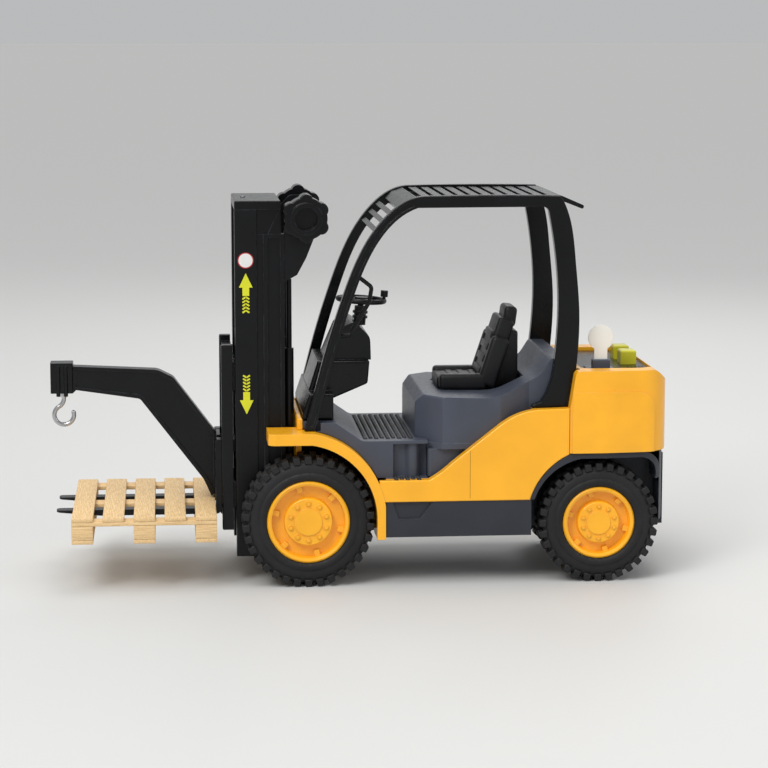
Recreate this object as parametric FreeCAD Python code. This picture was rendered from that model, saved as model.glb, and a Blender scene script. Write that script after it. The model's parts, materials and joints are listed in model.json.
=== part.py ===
import FreeCAD, Part
import math
import os

from FreeCAD import Vector

# Toy forklift, about 1:11. Millimetres. Z is up from the ground, -X is the way it drives, -Y is its left side.
# Outlines are measured along X from the front axle. save() then puts the origin under the middle of the toy.

# ---- driving dimensions -------------------------------------------------------------------------------------
FRONT_END = -129.0        # nose of the crane arm
REAR_END = 187.0          # rear face of the counterweight
WHEELBASE = 147.0
FRONT_TYRE_R = 33.2
REAR_TYRE_R = 30.4
FRONT_RIM_R = 20.8
REAR_RIM_R = 18.3
FRONT_TYRE_W = 21.0
REAR_TYRE_W = 20.0
AXLE_R = 2.0
RUNNING_GAP = 0.08        # radial clearance of a shaft in its hole
RIM_SET = 0.7             # rim's lip behind the tyre's outer face
HUB_SET = 1.0             # hub disc behind the lip
HUB_T = 2.4               # hub disc over the axle's end

BODY_HALF = 52.5          # outer faces of the body sides
TYRE_FACE = 51.5          # outer faces of the tyres
GUARD_HALF = 45.0         # outer faces of the overhead guard
GUARD_T = 5.0
MAST_HALF = 29.5          # outer faces of the mast channels
WHEEL_SPACE = 30.0        # inner faces of the wheel wells
CARRIER_HALF = 27.5       # outer faces of the axle carriers

SKIRT_Z = 25.0            # underside of the chassis
SILL_BOTTOM = 43.0
SILL_TOP = 54.0
FLOOR_Z = 73.0            # cab floor
SHOULDER_Z = 88.6         # foot of the rear guard pillars
DECK_Z = 108.0            # top of the counterweight
ARCH_TOP = 66.5           # underside of the body over the rear wheel
GUARD_TOP = 196.0
MAST_TOP = 192.8
MAST_BOTTOM = 12.0
CHANNEL_FRONT = -35.3     # front and back of the mast channels
CHANNEL_BACK = -24.3
CAP_T = 4.4               # thickness of the cap across the mast's top
RAIL_TOP = 176.2
RAIL_FRONT = -20.9        # front and back of the rear rails
RAIL_BACK = -10.4
RAIL_INNER = 24.5         # inner faces of the rear rails

FENDER_TOP = 78.3
FENDER_ARC = [(3.0, FENDER_TOP), (26.8, 65.4), (38.7, 41.0)]

FORK_TOP = 35.6
FORK_T = 3.0
FORK_W = 7.0
FORK_Y = 17.5             # centre of each fork from the middle
FORK_TIP = -126.4
CARRIAGE_BACK = -36.6
CARRIAGE_FRONT = -42.4
CARRIAGE_TOP = 119.6
CARRIAGE_BOTTOM = 24.6
CARRIAGE_HALF = 23.5

PALLET_FRONT = -117.8
PALLET_L = 72.0           # along the forks
PALLET_W = 108.0          # across the forks
PALLET_TOP = 37.7
BOARD_T = 2.0
PALLET_BOTTOM = 24.7
SLATS = 5
SLAT_W = 10.6
BLOCK_L = 10.6
BLOCK_W = 11.0

WINCH_X = 0.0             # axis of the winch shaft
WINCH_Z = 184.6
DRUM_R = 3.2
SHAFT_R = 2.5
KNOB_R = 12.2
KNOB_HOLE_R = 5.8
KNOB_HOLE_DEPTH = 5.6
SHAFT_DEPTH = 6.0         # from the knob's face to the end of the winch shaft
KNOB_FACE = 44.0          # outer faces of the knobs
LOBE_R = 3.6              # grip lobes round the knob

HEAD_BACK = -117.6        # block at the end of the crane arm
HEAD_BOTTOM = 93.3
HEAD_TOP = 108.9
HOOK_X = -122.5
HOOK_Z = 81.5             # centre of the hook's bend
HOOK_BEND_R = 5.0
HOOK_WIRE_R = 1.15
SHANK_R = 1.5

SEAT_Z = 94.4             # underside of the seat
SEAT_HALF = 19.0
PAD_HALF = 13.0           # edge between the seat's middle and its side bolsters

WHEEL_X = 30.5            # steering wheel centre
WHEEL_Z = 139.5
WHEEL_TILT = 4.0          # degrees, front edge up
STEER_R = 13.2
RING_R = 1.3              # round section of its ring
STUB_R = 1.5              # stub under its hub

BUTTON_X = 168.0
BUTTON_Y = 10.0
BUTTON_TRAVEL = 1.5
TAB_X = 150.0
TAB_Y = -33.0
PANEL_Z = 106.2           # top of the control panel
PANEL_FLOOR = 104.4       # its underside
LID_TOP = 106.8           # top of the battery lid
SWITCH_TOP = 98.9
BOARD_TOP = 96.0          # top of the circuit board
BOARD_BACK = 171.9        # its rear edge, against the panel's skirt
BOARD_HALF = 38.4

SCREW_R = 1.3
FOOT_SCREW_R = 1.0        # screw in the foot of each rear pillar
FOOT_SCREW_X = 114.8
FOOT_SCREW_Y = 42.5
FOOT_SCREW_SET = 1.1      # its seat above the body's shoulder
NUTS = 10                 # on each wheel

ORIGIN_X = (FRONT_END + REAR_END) / 2

Y_AXIS = Vector(0, 1, 0)
NOWHERE = Vector(0, 0, 0)


# ---- helpers ------------------------------------------------------------------------------------------------
def save(name, shape):
    """Write one sub-part, moved so that the origin is under the middle of the toy."""
    moved = shape.copy()
    moved.translate(Vector(-ORIGIN_X, 0, 0))
    if not moved.isValid():
        print("INVALID", name)
    moved.exportStep("parts/" + name + ".step")


def side(y):
    """Place an outline drawn in X and Z on the plane at y."""
    return lambda a, b: Vector(a, y, b)


def plan(z):
    """Place an outline drawn in X and Y on the plane at z."""
    return lambda a, b: Vector(a, b, z)


def corner_wire(points, place):
    """Closed wire through corners (a, b) or (a, b, radius), with the radius rounding that corner."""
    stops = []
    for i, point in enumerate(points):
        corner = place(point[0], point[1])
        if len(point) < 3:
            stops.append((corner, None, corner))
            continue
        nxt = points[(i + 1) % len(points)]
        back = (place(points[i - 1][0], points[i - 1][1]) - corner).normalize()
        ahead = (place(nxt[0], nxt[1]) - corner).normalize()
        half = back.getAngle(ahead) / 2
        reach = point[2] / math.tan(half)
        inward = (back + ahead).normalize() * (point[2] / math.sin(half) - point[2])
        stops.append((corner + back * reach, corner + inward, corner + ahead * reach))
    edges = []
    for i, (start, middle, stop) in enumerate(stops):
        if middle is not None:
            edges.append(Part.Arc(start, middle, stop).toShape())
        following = stops[(i + 1) % len(stops)][0]
        if stop.distanceToPoint(following) > 1e-6:
            edges.append(Part.LineSegment(stop, following).toShape())
    return Part.Wire(edges)


def stretch_wire(stretches, place):
    """Wire of stretches: two points make a line, three an arc through the middle one, more a smooth curve."""
    edges = []
    for stretch in stretches:
        points = [place(a, b) for a, b in stretch]
        if len(points) == 2:
            edges.append(Part.LineSegment(points[0], points[1]).toShape())
        elif len(points) == 3:
            edges.append(Part.Arc(points[0], points[1], points[2]).toShape())
        else:
            curve = Part.BSplineCurve()
            curve.interpolate(points)
            edges.append(curve.toShape())
    return Part.Wire(edges)


def solid_of(wire, direction):
    """Solid swept from a closed flat wire along a direction."""
    return Part.Face(wire).extrude(direction)


def side_prism(points, y0, y1):
    """Solid with the XZ outline points between y0 and y1."""
    return solid_of(corner_wire(points, side(y0)), Vector(0, y1 - y0, 0))


def side_curve(stretches, y0, y1):
    """Solid with a curved XZ outline between y0 and y1."""
    return solid_of(stretch_wire(stretches, side(y0)), Vector(0, y1 - y0, 0))


def plan_prism(points, z0, z1):
    """Solid with the XY outline points between z0 and z1."""
    return solid_of(corner_wire(points, plan(z0)), Vector(0, 0, z1 - z0))


def box(x0, x1, y0, y1, z0, z1):
    """Box between two corners."""
    return Part.makeBox(x1 - x0, y1 - y0, z1 - z0, Vector(x0, y0, z0))


def rod_y(x, z, r, y0, y1):
    """Cylinder along Y."""
    return Part.makeCylinder(r, y1 - y0, Vector(x, y0, z), Y_AXIS)


def rod_z(x, y, r, z0, z1):
    """Cylinder along Z."""
    return Part.makeCylinder(r, z1 - z0, Vector(x, y, z0), Vector(0, 0, 1))


def joined(*shapes):
    """One solid from touching or overlapping shapes."""
    return shapes[0].fuse(list(shapes[1:])).removeSplitter()


def mirrored(shape):
    """The same shape on the other side of the middle plane."""
    return shape.mirror(NOWHERE, Y_AXIS)


def group(*shapes):
    """Separate solids kept together in one sub-part."""
    return Part.makeCompound(list(shapes))


def rounded(shape, radius, chosen):
    """Fillet the edges that chosen accepts."""
    return shape.makeFillet(radius, [edge for edge in shape.Edges if chosen(edge)])


def flat_at(axis, value):
    """Test for the edges that lie wholly in one plane, such as axis "Y" at value."""
    def test(edge):
        limits = edge.BoundBox
        low, high = getattr(limits, axis + "Min"), getattr(limits, axis + "Max")
        return abs(low - value) < 1e-3 and abs(high - value) < 1e-3
    return test


def turned(profile, x, z):
    """Solid of revolution about the Y line through (x, z), from a profile of (radius, y)."""
    wire = corner_wire(profile, lambda r, y: Vector(r, y, 0))
    solid = Part.Face(wire).revolve(NOWHERE, Y_AXIS, 360)
    solid.translate(Vector(x, 0, z))
    return solid


def save_pair(name, left):
    """Write a left sub-part and its mirror image."""
    save(name + "_left", left)
    save(name + "_right", mirrored(left))


# ---- wheels -------------------------------------------------------------------------------------------------
def tyre(x, radius, rim_r, width):
    """Left tyre, with rounded shoulders and a groove round the middle of the tread."""
    outer, inner = -TYRE_FACE, -TYRE_FACE + width
    middle = (outer + inner) / 2
    groove_half, groove_depth = 0.8, 2.2
    shoulder = 2.6
    profile = [
        (rim_r, outer + 1.6, 0.6), (rim_r + 3.0, outer, 2.0), (radius - 5.5, outer, 2.0),
        (radius, outer + shoulder + 0.8, 1.5),
        (radius, middle - groove_half), (radius - groove_depth, middle - groove_half),
        (radius - groove_depth, middle + groove_half), (radius, middle + groove_half),
        (radius, inner - shoulder - 0.8, 1.5), (radius - 5.5, inner, 2.0),
        (rim_r + 3.0, inner, 2.0), (rim_r, inner - 1.6, 0.6),
    ]
    return turned(profile, x, radius)


def rim(x, radius, rim_r, width):
    """Left rim: barrel, recessed ring, raised hub disc with nuts and a centre cap, blind hole for the axle."""
    size = rim_r / FRONT_RIM_R
    face = -TYRE_FACE + RIM_SET
    inner = -TYRE_FACE + width
    hub_r, cap_r, nut_ring, nut_r = 12.0 * size, 6.9 * size, 9.35 * size, 0.95 * size
    floor_y, hub_y = face + 5.0, face + HUB_SET
    lip_r = rim_r - 2.3
    boss_r = 5.0
    profile = [
        (0, hub_y - 0.6), (cap_r, hub_y - 0.6), (cap_r, hub_y), (hub_r, hub_y, 0.8), (hub_r + 0.4, floor_y),
        (lip_r - 0.6, floor_y), (lip_r, face + 0.6), (rim_r - 0.9, face, 0.5), (rim_r, face + 0.9),
        (rim_r, inner - 1.0), (rim_r - 2.0, inner - 1.0), (rim_r - 2.0, floor_y + 2.0),
        (boss_r, floor_y + 2.0), (boss_r, inner), (AXLE_R, inner), (AXLE_R, hub_y + HUB_T), (0, hub_y + HUB_T),
    ]
    wheel = turned(profile, x, radius)
    extras = []
    for i in range(NUTS):
        angle = 2 * math.pi * (i + 0.5) / NUTS
        extras.append(rod_y(x + nut_ring * math.cos(angle), radius + nut_ring * math.sin(angle),
                            nut_r, hub_y - 0.8, hub_y + 0.5))
    ring_gap = lip_r - 0.6 - hub_r
    for i in range(6):
        nub = box(hub_r + ring_gap * 0.55, lip_r - 0.2, -1.4, 1.4, 0, 2.2)
        nub.rotate(NOWHERE, Vector(1, 0, 0), 90)
        nub.rotate(NOWHERE, Y_AXIS, 60 * i + 15)
        nub.translate(Vector(x, floor_y + 0.2, radius))
        extras.append(nub)
    return joined(wheel, *extras)


def axle(x, z):
    """Steel axle; its ends sit in the blind holes of the two rims."""
    half = TYRE_FACE - RIM_SET - HUB_SET - HUB_T - 0.1
    return rod_y(x, z, AXLE_R, -half, half)


# ---- chassis and body ---------------------------------------------------------------------------------------
def tail_outline(inset):
    """Plan of the counterweight: straight sides that draw in, rounded corners and a bowed rear face."""
    side_y, corner_y, rear_y = BODY_HALF - inset, 50.6 - inset, 38.0 - inset
    start_x, rear_x = 131.5 + inset, REAR_END - inset
    taper_x, corner_x = 150.0, 170.0
    return [
        [(start_x, -side_y), (taper_x, -side_y)],
        [(taper_x, -side_y), (corner_x, -corner_y)],
        [(corner_x, -corner_y), (rear_x - 8.6, -corner_y + 4.6), (rear_x - 4.6, -rear_y)],
        [(rear_x - 4.6, -rear_y), (rear_x, 0), (rear_x - 4.6, rear_y)],
        [(rear_x - 4.6, rear_y), (rear_x - 8.6, corner_y - 4.6), (corner_x, corner_y)],
        [(corner_x, corner_y), (taper_x, side_y)],
        [(taper_x, side_y), (start_x, side_y)],
        [(start_x, side_y), (start_x, -side_y)],
    ]


def tail_block(inset, z0, z1):
    """The counterweight's plan as a solid."""
    return solid_of(stretch_wire(tail_outline(inset), plan(z0)), Vector(0, 0, z1 - z0))


def chassis():
    """Tray with the skirts and steps, two axle carriers and the rear bumper."""
    wall = 3.0
    tray_front, tray_rear = 38.9, 112.3
    tray = box(tray_front, tray_rear, -TYRE_FACE, TYRE_FACE, SKIRT_Z, SILL_BOTTOM)
    tray = tray.cut(box(tray_front + wall, tray_rear - wall, -TYRE_FACE + wall, TYRE_FACE - wall,
                        SKIRT_Z + wall, SILL_BOTTOM + 1))
    for y in (-TYRE_FACE, TYRE_FACE - 1.4):
        step = [(41.7, SILL_BOTTOM + 1), (45.2, 34.2, 1.0), (56.0, 34.2, 1.0), (63.0, SILL_BOTTOM + 1)]
        tray = tray.cut(side_prism(step, y, y + 1.4))
    front = box(-10.0, tray_front + wall, -CARRIER_HALF, CARRIER_HALF, SKIRT_Z, 50.0)
    front = front.cut(box(-7.0, tray_front + wall + 1, -CARRIER_HALF + wall, CARRIER_HALF - wall,
                          SKIRT_Z + wall, 51.0))
    rear = box(tray_rear - wall, 184.0, -CARRIER_HALF, CARRIER_HALF, SKIRT_Z, 62.0)
    rear = rear.cut(box(tray_rear, 181.0, -CARRIER_HALF + wall, CARRIER_HALF - wall, SKIRT_Z + wall, 63.0))
    bumper = tail_block(1.2, 30.0, ARCH_TOP - 0.5).common(box(179.0, 190.0, -60, 60, 0, 80))
    body = joined(tray, front, rear, bumper)
    for x, z in ((0, FRONT_TYRE_R), (WHEELBASE, REAR_TYRE_R)):
        body = body.cut(rod_y(x, z, AXLE_R + RUNNING_GAP, -CARRIER_HALF - 1, CARRIER_HALF + 1))
    return body


def body_side():
    """Left body side: front fender, sill and side panel in one moulding."""
    well = -WHEEL_SPACE
    nose, under, foot, flap = -20.0, 72.5, 24.0, 34.5
    back = FENDER_ARC[-1][0]
    fender = side_curve([
        [(nose, under), (nose, FENDER_TOP)],
        [(nose, FENDER_TOP), FENDER_ARC[0]],
        FENDER_ARC,
        [FENDER_ARC[-1], (back, foot)],
        [(back, foot), (flap, foot)],
        [(flap, foot), (flap, 33.0)],
        [(flap, 33.0), (25.2, 59.4), (2.0, under)],
        [(2.0, under), (nose, under)],
    ], -BODY_HALF, well)
    footprint = [(nose, -BODY_HALF, 4.0), (nose, well), (45.0, well), (45.0, -BODY_HALF)]
    fender = fender.common(plan_prism(footprint, 20.0, 80.0))
    outline = [
        [(35.6, SILL_BOTTOM), (35.6, SILL_TOP)],
        [(35.6, SILL_TOP), (60.5, SILL_TOP)],
        [(60.5, SILL_TOP), (66.2, 57.6), (72.0, 62.4)],
        [(72.0, 62.4), (96.0, 81.2)],
        [(96.0, 81.2), (105.5, 86.6), (116.0, 88.9)],
        [(116.0, 88.9), (131.4, 89.3)],
        [(131.4, 89.3), (131.4, 65.9)],
        [(131.4, 65.9), (119.6, 57.3), (111.5, SILL_BOTTOM)],
        [(111.5, SILL_BOTTOM), (35.6, SILL_BOTTOM)],
    ]
    face = -BODY_HALF + 0.2
    panel = rounded(side_curve(outline, face, face + 2.5), 0.7, flat_at("Y", face))
    ledge = side_curve([
        [(39.0, SILL_TOP), (60.5, SILL_TOP)],
        [(60.5, SILL_TOP), (66.2, 57.6), (72.0, 62.4)],
        [(72.0, 62.4), (96.0, 81.2)],
        [(96.0, 81.2), (105.5, 86.6), (116.0, 88.9)],
        [(116.0, 88.9), (131.2, 89.3)],
        [(131.2, 89.3), (131.2, 86.5)],
        [(131.2, 86.5), (117.0, 86.3)],
        [(117.0, 86.3), (97.5, 79.6)],
        [(97.5, 79.6), (61.5, 51.8)],
        [(61.5, 51.8), (39.0, 51.8)],
        [(39.0, 51.8), (39.0, SILL_TOP)],
    ], -BODY_HALF + 1.5, -46.6)
    shoulder = box(113.4, 131.2, -46.8, -40.2, 86.0, SHOULDER_Z)
    return joined(fender, panel, ledge, shoulder)


def front_cowl():
    """Upright front wall between the fenders, up to the foot of the dashboard."""
    top = 84.0
    wall = plan_prism([(-5.0, -39.0, 2.0), (-5.0, 39.0, 2.0), (-2.2, 39.0), (-2.2, -39.0)], 50.0, top)
    for low, high in ((-39.5, -29.0), (29.0, 39.5)):
        wall = wall.cut(box(-6.0, 0.0, low, high, 49.0, FENDER_TOP + 0.1))
    return rounded(wall, 0.8, flat_at("Z", top))


def counterweight():
    """Hollow counterweight shell with a raised side panel and a recessed deck for the controls."""
    wall = 2.5
    profile = [
        (131.5, ARCH_TOP), (131.5, 89.3), (134.4, DECK_Z, 2.5), (176.0, DECK_Z, 8.0), (185.5, 99.0, 10.0),
        (REAR_END + 1, 88.0), (REAR_END + 1, ARCH_TOP),
    ]
    outer = tail_block(0, ARCH_TOP, DECK_Z + 1).common(side_prism(profile, -60, 60))
    badge_plan = tail_block(-0.7, ARCH_TOP, DECK_Z)
    badge_side = side_prism([(132.6, ARCH_TOP), (132.6, 97.4, 2.0), (175.0, 97.4, 9.0), (175.0, ARCH_TOP)],
                            -60, 60)
    outer = joined(outer, badge_plan.common(badge_side))
    inner_profile = [
        (134.0, ARCH_TOP - 5), (134.0, 89.0), (137.0, DECK_Z - wall, 2.0), (174.0, DECK_Z - wall, 7.0),
        (183.0, 98.0, 9.0), (REAR_END - wall, 87.0), (REAR_END - wall, ARCH_TOP - 5),
    ]
    inner = tail_block(wall, ARCH_TOP - 5, DECK_Z).common(side_prism(inner_profile, -60, 60))
    deck = plan_prism([(139.0, -41.0, 5.0), (176.0, -41.0, 9.0), (176.0, 41.0, 9.0), (139.0, 41.0, 5.0)],
                      100.0, 120.0)
    shell = outer.cut(inner).cut(deck)
    notch = box(130.0, 137.4, -GUARD_HALF - 0.2, -GUARD_HALF + GUARD_T + 0.2, ARCH_TOP - 1, DECK_Z + 2)
    return shell.cut(notch).cut(mirrored(notch))


def arch_liner():
    """Left liner of the rear wheel well: a strip that follows the arch and runs in over the wheel."""
    strip = side_curve([
        [(111.6, 43.2), (119.9, 57.1), (131.8, 66.0)],
        [(131.8, 66.0), (170.0, ARCH_TOP - 0.3)],
        [(170.0, ARCH_TOP - 0.3), (177.0, 62.4), (178.7, 52.0)],
        [(178.7, 52.0), (176.4, 52.0)],
        [(176.4, 52.0), (174.8, 60.4), (168.6, 63.6)],
        [(168.6, 63.6), (138.0, 63.6)],
        [(138.0, 63.6), (122.2, 56.0), (113.9, 43.2)],
        [(113.9, 43.2), (111.6, 43.2)],
    ], -TYRE_FACE - 0.3, -WHEEL_SPACE)
    return strip.common(tail_block(1.0, 0, 100).fuse(box(100, 133, -60, 0, 0, 100))).common(
        box(100.0, 178.8, -60.0, 0.0, 0.0, 100.0))


def cab_floor():
    """Floor with the wheel covers in front, the side walls of the step wells below it and the steps."""
    half = 45.0
    outline = [(-2.0, 50.0), (-2.0, 82.5), (14.0, 82.5, 3.0), (27.5, FLOOR_Z, 6.0), (60.4, FLOOR_Z),
               (60.4, SILL_TOP + 0.2), (34.0, SILL_TOP + 0.2)]
    outer = side_prism(outline, -half, half)
    bend = Part.Arc(*[Vector(a, 0, b) for a, b in FENDER_ARC]).toShape().Curve
    gap = 0.3
    outer = outer.cut(rod_y(bend.Center.x, bend.Center.z, bend.Radius + gap, -half - 1, half + 1))
    outer = outer.cut(box(-3.0, FENDER_ARC[0][0], -half - 1, half + 1, 40.0, FENDER_TOP + gap))
    well = plan_prism([(43.0, -60.0), (43.0, -41.0, 3.0), (49.0, -41.0, 2.0), (54.0, -45.2, 3.0),
                       (57.5, -38.0, 4.0), (61.0, -38.0), (61.0, -60.0)], SILL_TOP + 0.2, FLOOR_Z - 1.6)
    pillar = box(-3.0, 6.6, -half - 1, -GUARD_HALF + GUARD_T + 0.1, FENDER_TOP, 84.0)
    for cut in (well, pillar):
        outer = outer.cut(cut).cut(mirrored(cut))
    step = box(39.2, 60.4, -46.5, -37.0, SILL_TOP - 1.8, SILL_TOP + 0.3)
    outer = joined(outer, step, mirrored(step))
    hollow = box(38.0, 58.4, -35.0, 35.0, SILL_TOP - 3, FLOOR_Z - 2.2)
    return outer.cut(hollow)


def hood_outline(inset):
    """Plan of the seat hood: bevelled front corners, full width, then drawn in between the rear pillars."""
    front_y, full_y, rear_y = 33.0 - inset, 46.4 - inset, 39.4 - inset
    front_x, rear_x = 55.0 + inset, 131.2 - inset
    return [(front_x, -front_y), (68.0, -full_y), (97.0, -full_y), (112.4, -rear_y), (rear_x, -rear_y),
            (rear_x, rear_y), (112.4, rear_y), (97.0, full_y), (68.0, full_y), (front_x, front_y)]


def seat_hood():
    """Hood under the seat, with its rear haunches, a band round its foot and the plinth below."""
    def hood(inset, z0):
        top = 113.0 - inset
        profile = [(54.0, z0), (55.2 + inset, 91.0, 1.0), (59.0 + inset, 95.2 - inset, 2.0),
                   (96.0, 94.0 - inset, 30.0), (118.0, 104.5 - inset, 12.0), (123.5 + inset / 2, top, 2.0),
                   (132.0, top), (132.0, z0)]
        block = plan_prism(hood_outline(inset), z0, 115.0)
        return block.common(side_prism(profile, -60, 60))

    outer = rounded(hood(0, 71.5), 1.2, lambda e: e.BoundBox.ZLength > 15 and e.BoundBox.XMax < 70)
    band = plan_prism([(54.2, -33.4), (67.6, -46.6), (84.0, -46.6), (84.0, 46.6), (67.6, 46.6), (54.2, 33.4)],
                      68.5, 71.6)
    plinth = plan_prism([(60.6, -44.0, 1.5), (108.0, -44.0), (108.0, 44.0), (60.6, 44.0, 1.5)],
                        SILL_TOP + 0.4, 68.6)
    solid = joined(outer, band, plinth)
    hollow = joined(hood(2.0, 68.0), box(62.8, 106.0, -42.0, 42.0, SILL_TOP - 1, 70.0))
    seat_recess = box(68.3, 112.2, -SEAT_HALF - 0.6, SEAT_HALF + 0.6, SEAT_Z - 0.1, 120.0)
    floor_edge = box(50.0, 60.5, -45.1, 45.1, 60.0, FLOOR_Z + 0.05)
    return solid.cut(hollow).cut(seat_recess).cut(floor_edge)


# ---- controls on the counterweight ---------------------------------------------------------------------------
def control_panel():
    """Black panel in the counterweight's deck, with its skirt, speaker slots and holes for the buttons."""
    x0, x1, half = 139.2, 175.8, 40.8
    plate = plan_prism([(x0, -half, 5.0), (x1, -half, 9.0), (x1, half, 9.0), (x0, half, 5.0)],
                       PANEL_FLOOR, PANEL_Z)
    skirt = box(141.2, 173.5, -40.0, 40.0, 84.0, PANEL_FLOOR + 0.2)
    skirt = skirt.cut(box(142.8, BOARD_BACK, -BOARD_HALF, BOARD_HALF, 83.0, PANEL_FLOOR))
    panel = joined(plate, skirt)
    for y in (-BUTTON_Y, BUTTON_Y):
        panel = panel.cut(box(BUTTON_X - 4.6, BUTTON_X + 4.2, y - 4.9, y + 4.9, 100, 110))
    for i in range(5):
        panel = panel.cut(box(165.0 + 1.9 * i, 165.9 + 1.9 * i, -34.0, -24.0, 103, 110))
    return panel.cut(box(142.9, 157.1, -38.1, -21.9, 104.3, 110))


def battery_cover():
    """Small lid over the button cells, with the raised slot that the pull tab comes out of."""
    lid = box(143.1, 156.9, -37.9, -22.1, 104.5, LID_TOP)
    collar = box(TAB_X - 4.4, TAB_X + 4.4, TAB_Y - 2.6, TAB_Y + 2.6, LID_TOP - 0.8, 111.6)
    collar = collar.makeFillet(0.8, [edge for edge in collar.Edges if edge.BoundBox.ZMin > LID_TOP])
    return joined(lid, collar).cut(box(TAB_X - 3.8, TAB_X + 3.8, TAB_Y - 0.5, TAB_Y + 0.5, 100, 115))


def pull_tab():
    """Thin card tab: round head, straight stem that ends between two cells."""
    thickness = 0.4
    stem = box(TAB_X - 3.4, TAB_X + 3.4, TAB_Y - thickness / 2, TAB_Y + thickness / 2, 98.0, 120.0)
    head = rod_y(TAB_X, 122.6, 6.6, TAB_Y - thickness / 2, TAB_Y + thickness / 2)
    return joined(stem, head)


def battery_cells():
    """Three button cells side by side; the first two stand apart round the tab."""
    return group(*[rod_y(TAB_X, 98.4, 5.8, start, start + 4.7) for start in (-38.0, -32.7, -27.4)])


def push_button(y):
    """Square button cap with a stem down to its switch."""
    cap = box(BUTTON_X - 4.3, BUTTON_X + 3.9, y - 4.6, y + 4.6, 103.4, 113.4)
    cap = cap.makeFillet(1.2, [edge for edge in cap.Edges if edge.BoundBox.ZMin > 104])
    stem = rod_z(BUTTON_X - 0.2, y, 1.6, SWITCH_TOP + BUTTON_TRAVEL + 0.1, 103.6)
    flange = box(BUTTON_X - 5.4, BUTTON_X + 3.8, y - 5.6, y + 5.6, 101.8, 103.5)
    return joined(cap, flange, stem)


# ---- cab ----------------------------------------------------------------------------------------------------
def guard_side():
    """Left side frame of the overhead guard: front pillar, roof rail and rear pillar."""
    front = [(-1.5, FENDER_TOP + 0.1), (3.3, 97.0), (9.2, 119.0), (17.2, 144.0), (29.2, 172.0), (39.0, 185.2),
             (49.0, 193.0), (58.0, 195.6)]
    rear = [(127.0, 195.6), (131.4, 185.0), (134.8, 162.0), (136.8, 138.0), (135.9, 112.0), (133.0, SHOULDER_Z)]
    inner_rear = [(117.6, SHOULDER_Z + 3.0), (121.2, 98.0), (124.6, 114.0), (126.2, 138.0), (124.8, 164.0),
                  (121.0, 187.5)]
    inner_front = [(55.5, 189.8), (46.0, 184.6), (36.5, 174.2), (22.8, 144.4), (14.7, 118.6), (8.8, 97.0),
                   (3.8, FENDER_TOP + 0.1)]
    frame = side_curve([
        front,
        [(58.0, 195.6), (90.0, GUARD_TOP), (127.0, 195.6)],
        rear,
        [(133.0, SHOULDER_Z), (113.3, SHOULDER_Z)],
        [(113.3, SHOULDER_Z), (113.3, SHOULDER_Z + 1.4)],
        [(113.3, SHOULDER_Z + 1.4), (117.6, SHOULDER_Z + 3.0)],
        inner_rear,
        [(121.0, 187.5), (119.8, 189.4), (117.6, 190.0)],
        [(117.6, 190.0), (55.5, 189.8)],
        inner_front,
        [(3.8, FENDER_TOP + 0.1), (-1.5, FENDER_TOP + 0.1)],
    ], -GUARD_HALF, -GUARD_HALF + GUARD_T)
    frame = rounded(frame, 0.5, flat_at("Y", -GUARD_HALF))
    ahead = [(-0.9, 81.0), *front[1:-1]]
    behind = [(4.4, 81.0), *reversed(inner_front[:-1])]
    near, far = ([(a[0] + share * (b[0] - a[0]), a[1] + share * (b[1] - a[1])) for a, b in zip(ahead, behind)]
                 for share in (0.26, 0.70))
    far.reverse()
    groove_depth = 0.7
    groove = side_curve([near, [near[-1], far[0]], far, [far[-1], near[0]]],
                        -GUARD_HALF - 1.0, -GUARD_HALF + groove_depth)
    screw_seat = rod_z(FOOT_SCREW_X, -FOOT_SCREW_Y, FOOT_SCREW_R + 0.3,
                       SHOULDER_Z + FOOT_SCREW_SET, SHOULDER_Z + 5.0)
    return frame.cut(groove).cut(screw_seat)


def roof_grille():
    """Roof between the side frames: front and rear cross bars and the slats."""
    half = GUARD_HALF - GUARD_T - 0.1
    front = side_prism([(46.0, 189.4), (49.6, 192.8, 1.0), (56.0, 194.9, 1.0), (56.5, 192.6), (52.0, 190.6),
                        (47.4, 187.0)], -half, half)
    rear = side_prism([(122.0, 192.8), (122.0, 195.2), (128.0, 195.2, 3.0), (139.5, 190.2, 0.8),
                       (138.8, 188.4, 0.8), (127.6, 192.8)], -half, half)
    slats = [box(58.5 + 6.4 * i, 62.6 + 6.4 * i, -half, half, 192.4, 194.9) for i in range(10)]
    ribs = [box(54.0, 124.0, y - 1.2, y + 1.2, 191.4, 193.4) for y in (-20.0, 20.0)]
    louvres = []
    for x, z in ((42.6, 186.4), (38.8, 182.4), (35.2, 178.0)):
        louvre = box(-1.3, 1.3, -half, half, -0.8, 0.8)
        louvre.rotate(NOWHERE, Y_AXIS, -40)
        louvre.translate(Vector(x, 0, z))
        louvres.append(louvre)
    return group(joined(front, rear, *slats, *ribs), *louvres)


def tube(points, radius, bend):
    """Round rod along straight runs joined by arcs of one bend radius."""
    route = [Vector(*p) for p in points]
    edges = []
    start = route[0]
    for before, corner, after in zip(route, route[1:], route[2:]):
        back, ahead = (before - corner).normalize(), (after - corner).normalize()
        half = back.getAngle(ahead) / 2
        reach = bend / math.tan(half)
        first, last = corner + back * reach, corner + ahead * reach
        middle = corner + (back + ahead).normalize() * (bend / math.sin(half) - bend)
        edges.append(Part.LineSegment(start, first).toShape())
        edges.append(Part.Arc(first, middle, last).toShape())
        start = last
    edges.append(Part.LineSegment(start, route[-1]).toShape())
    path = Part.Wire(edges)
    section = Part.Wire(Part.makeCircle(radius, route[0], (route[1] - route[0]).normalize()))
    return path.makePipeShell([section], True, False)


def grab_handle():
    """Bent rod on the back of the left front pillar, for climbing in."""
    y = -GUARD_HALF + GUARD_T / 2
    return tube([(26.0, y, 155.5), (32.4, y, 150.5), (31.2, y, 143.0), (21.4, y, 126.6), (15.6, y, 125.8)],
                1.05, 2.4)


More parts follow.
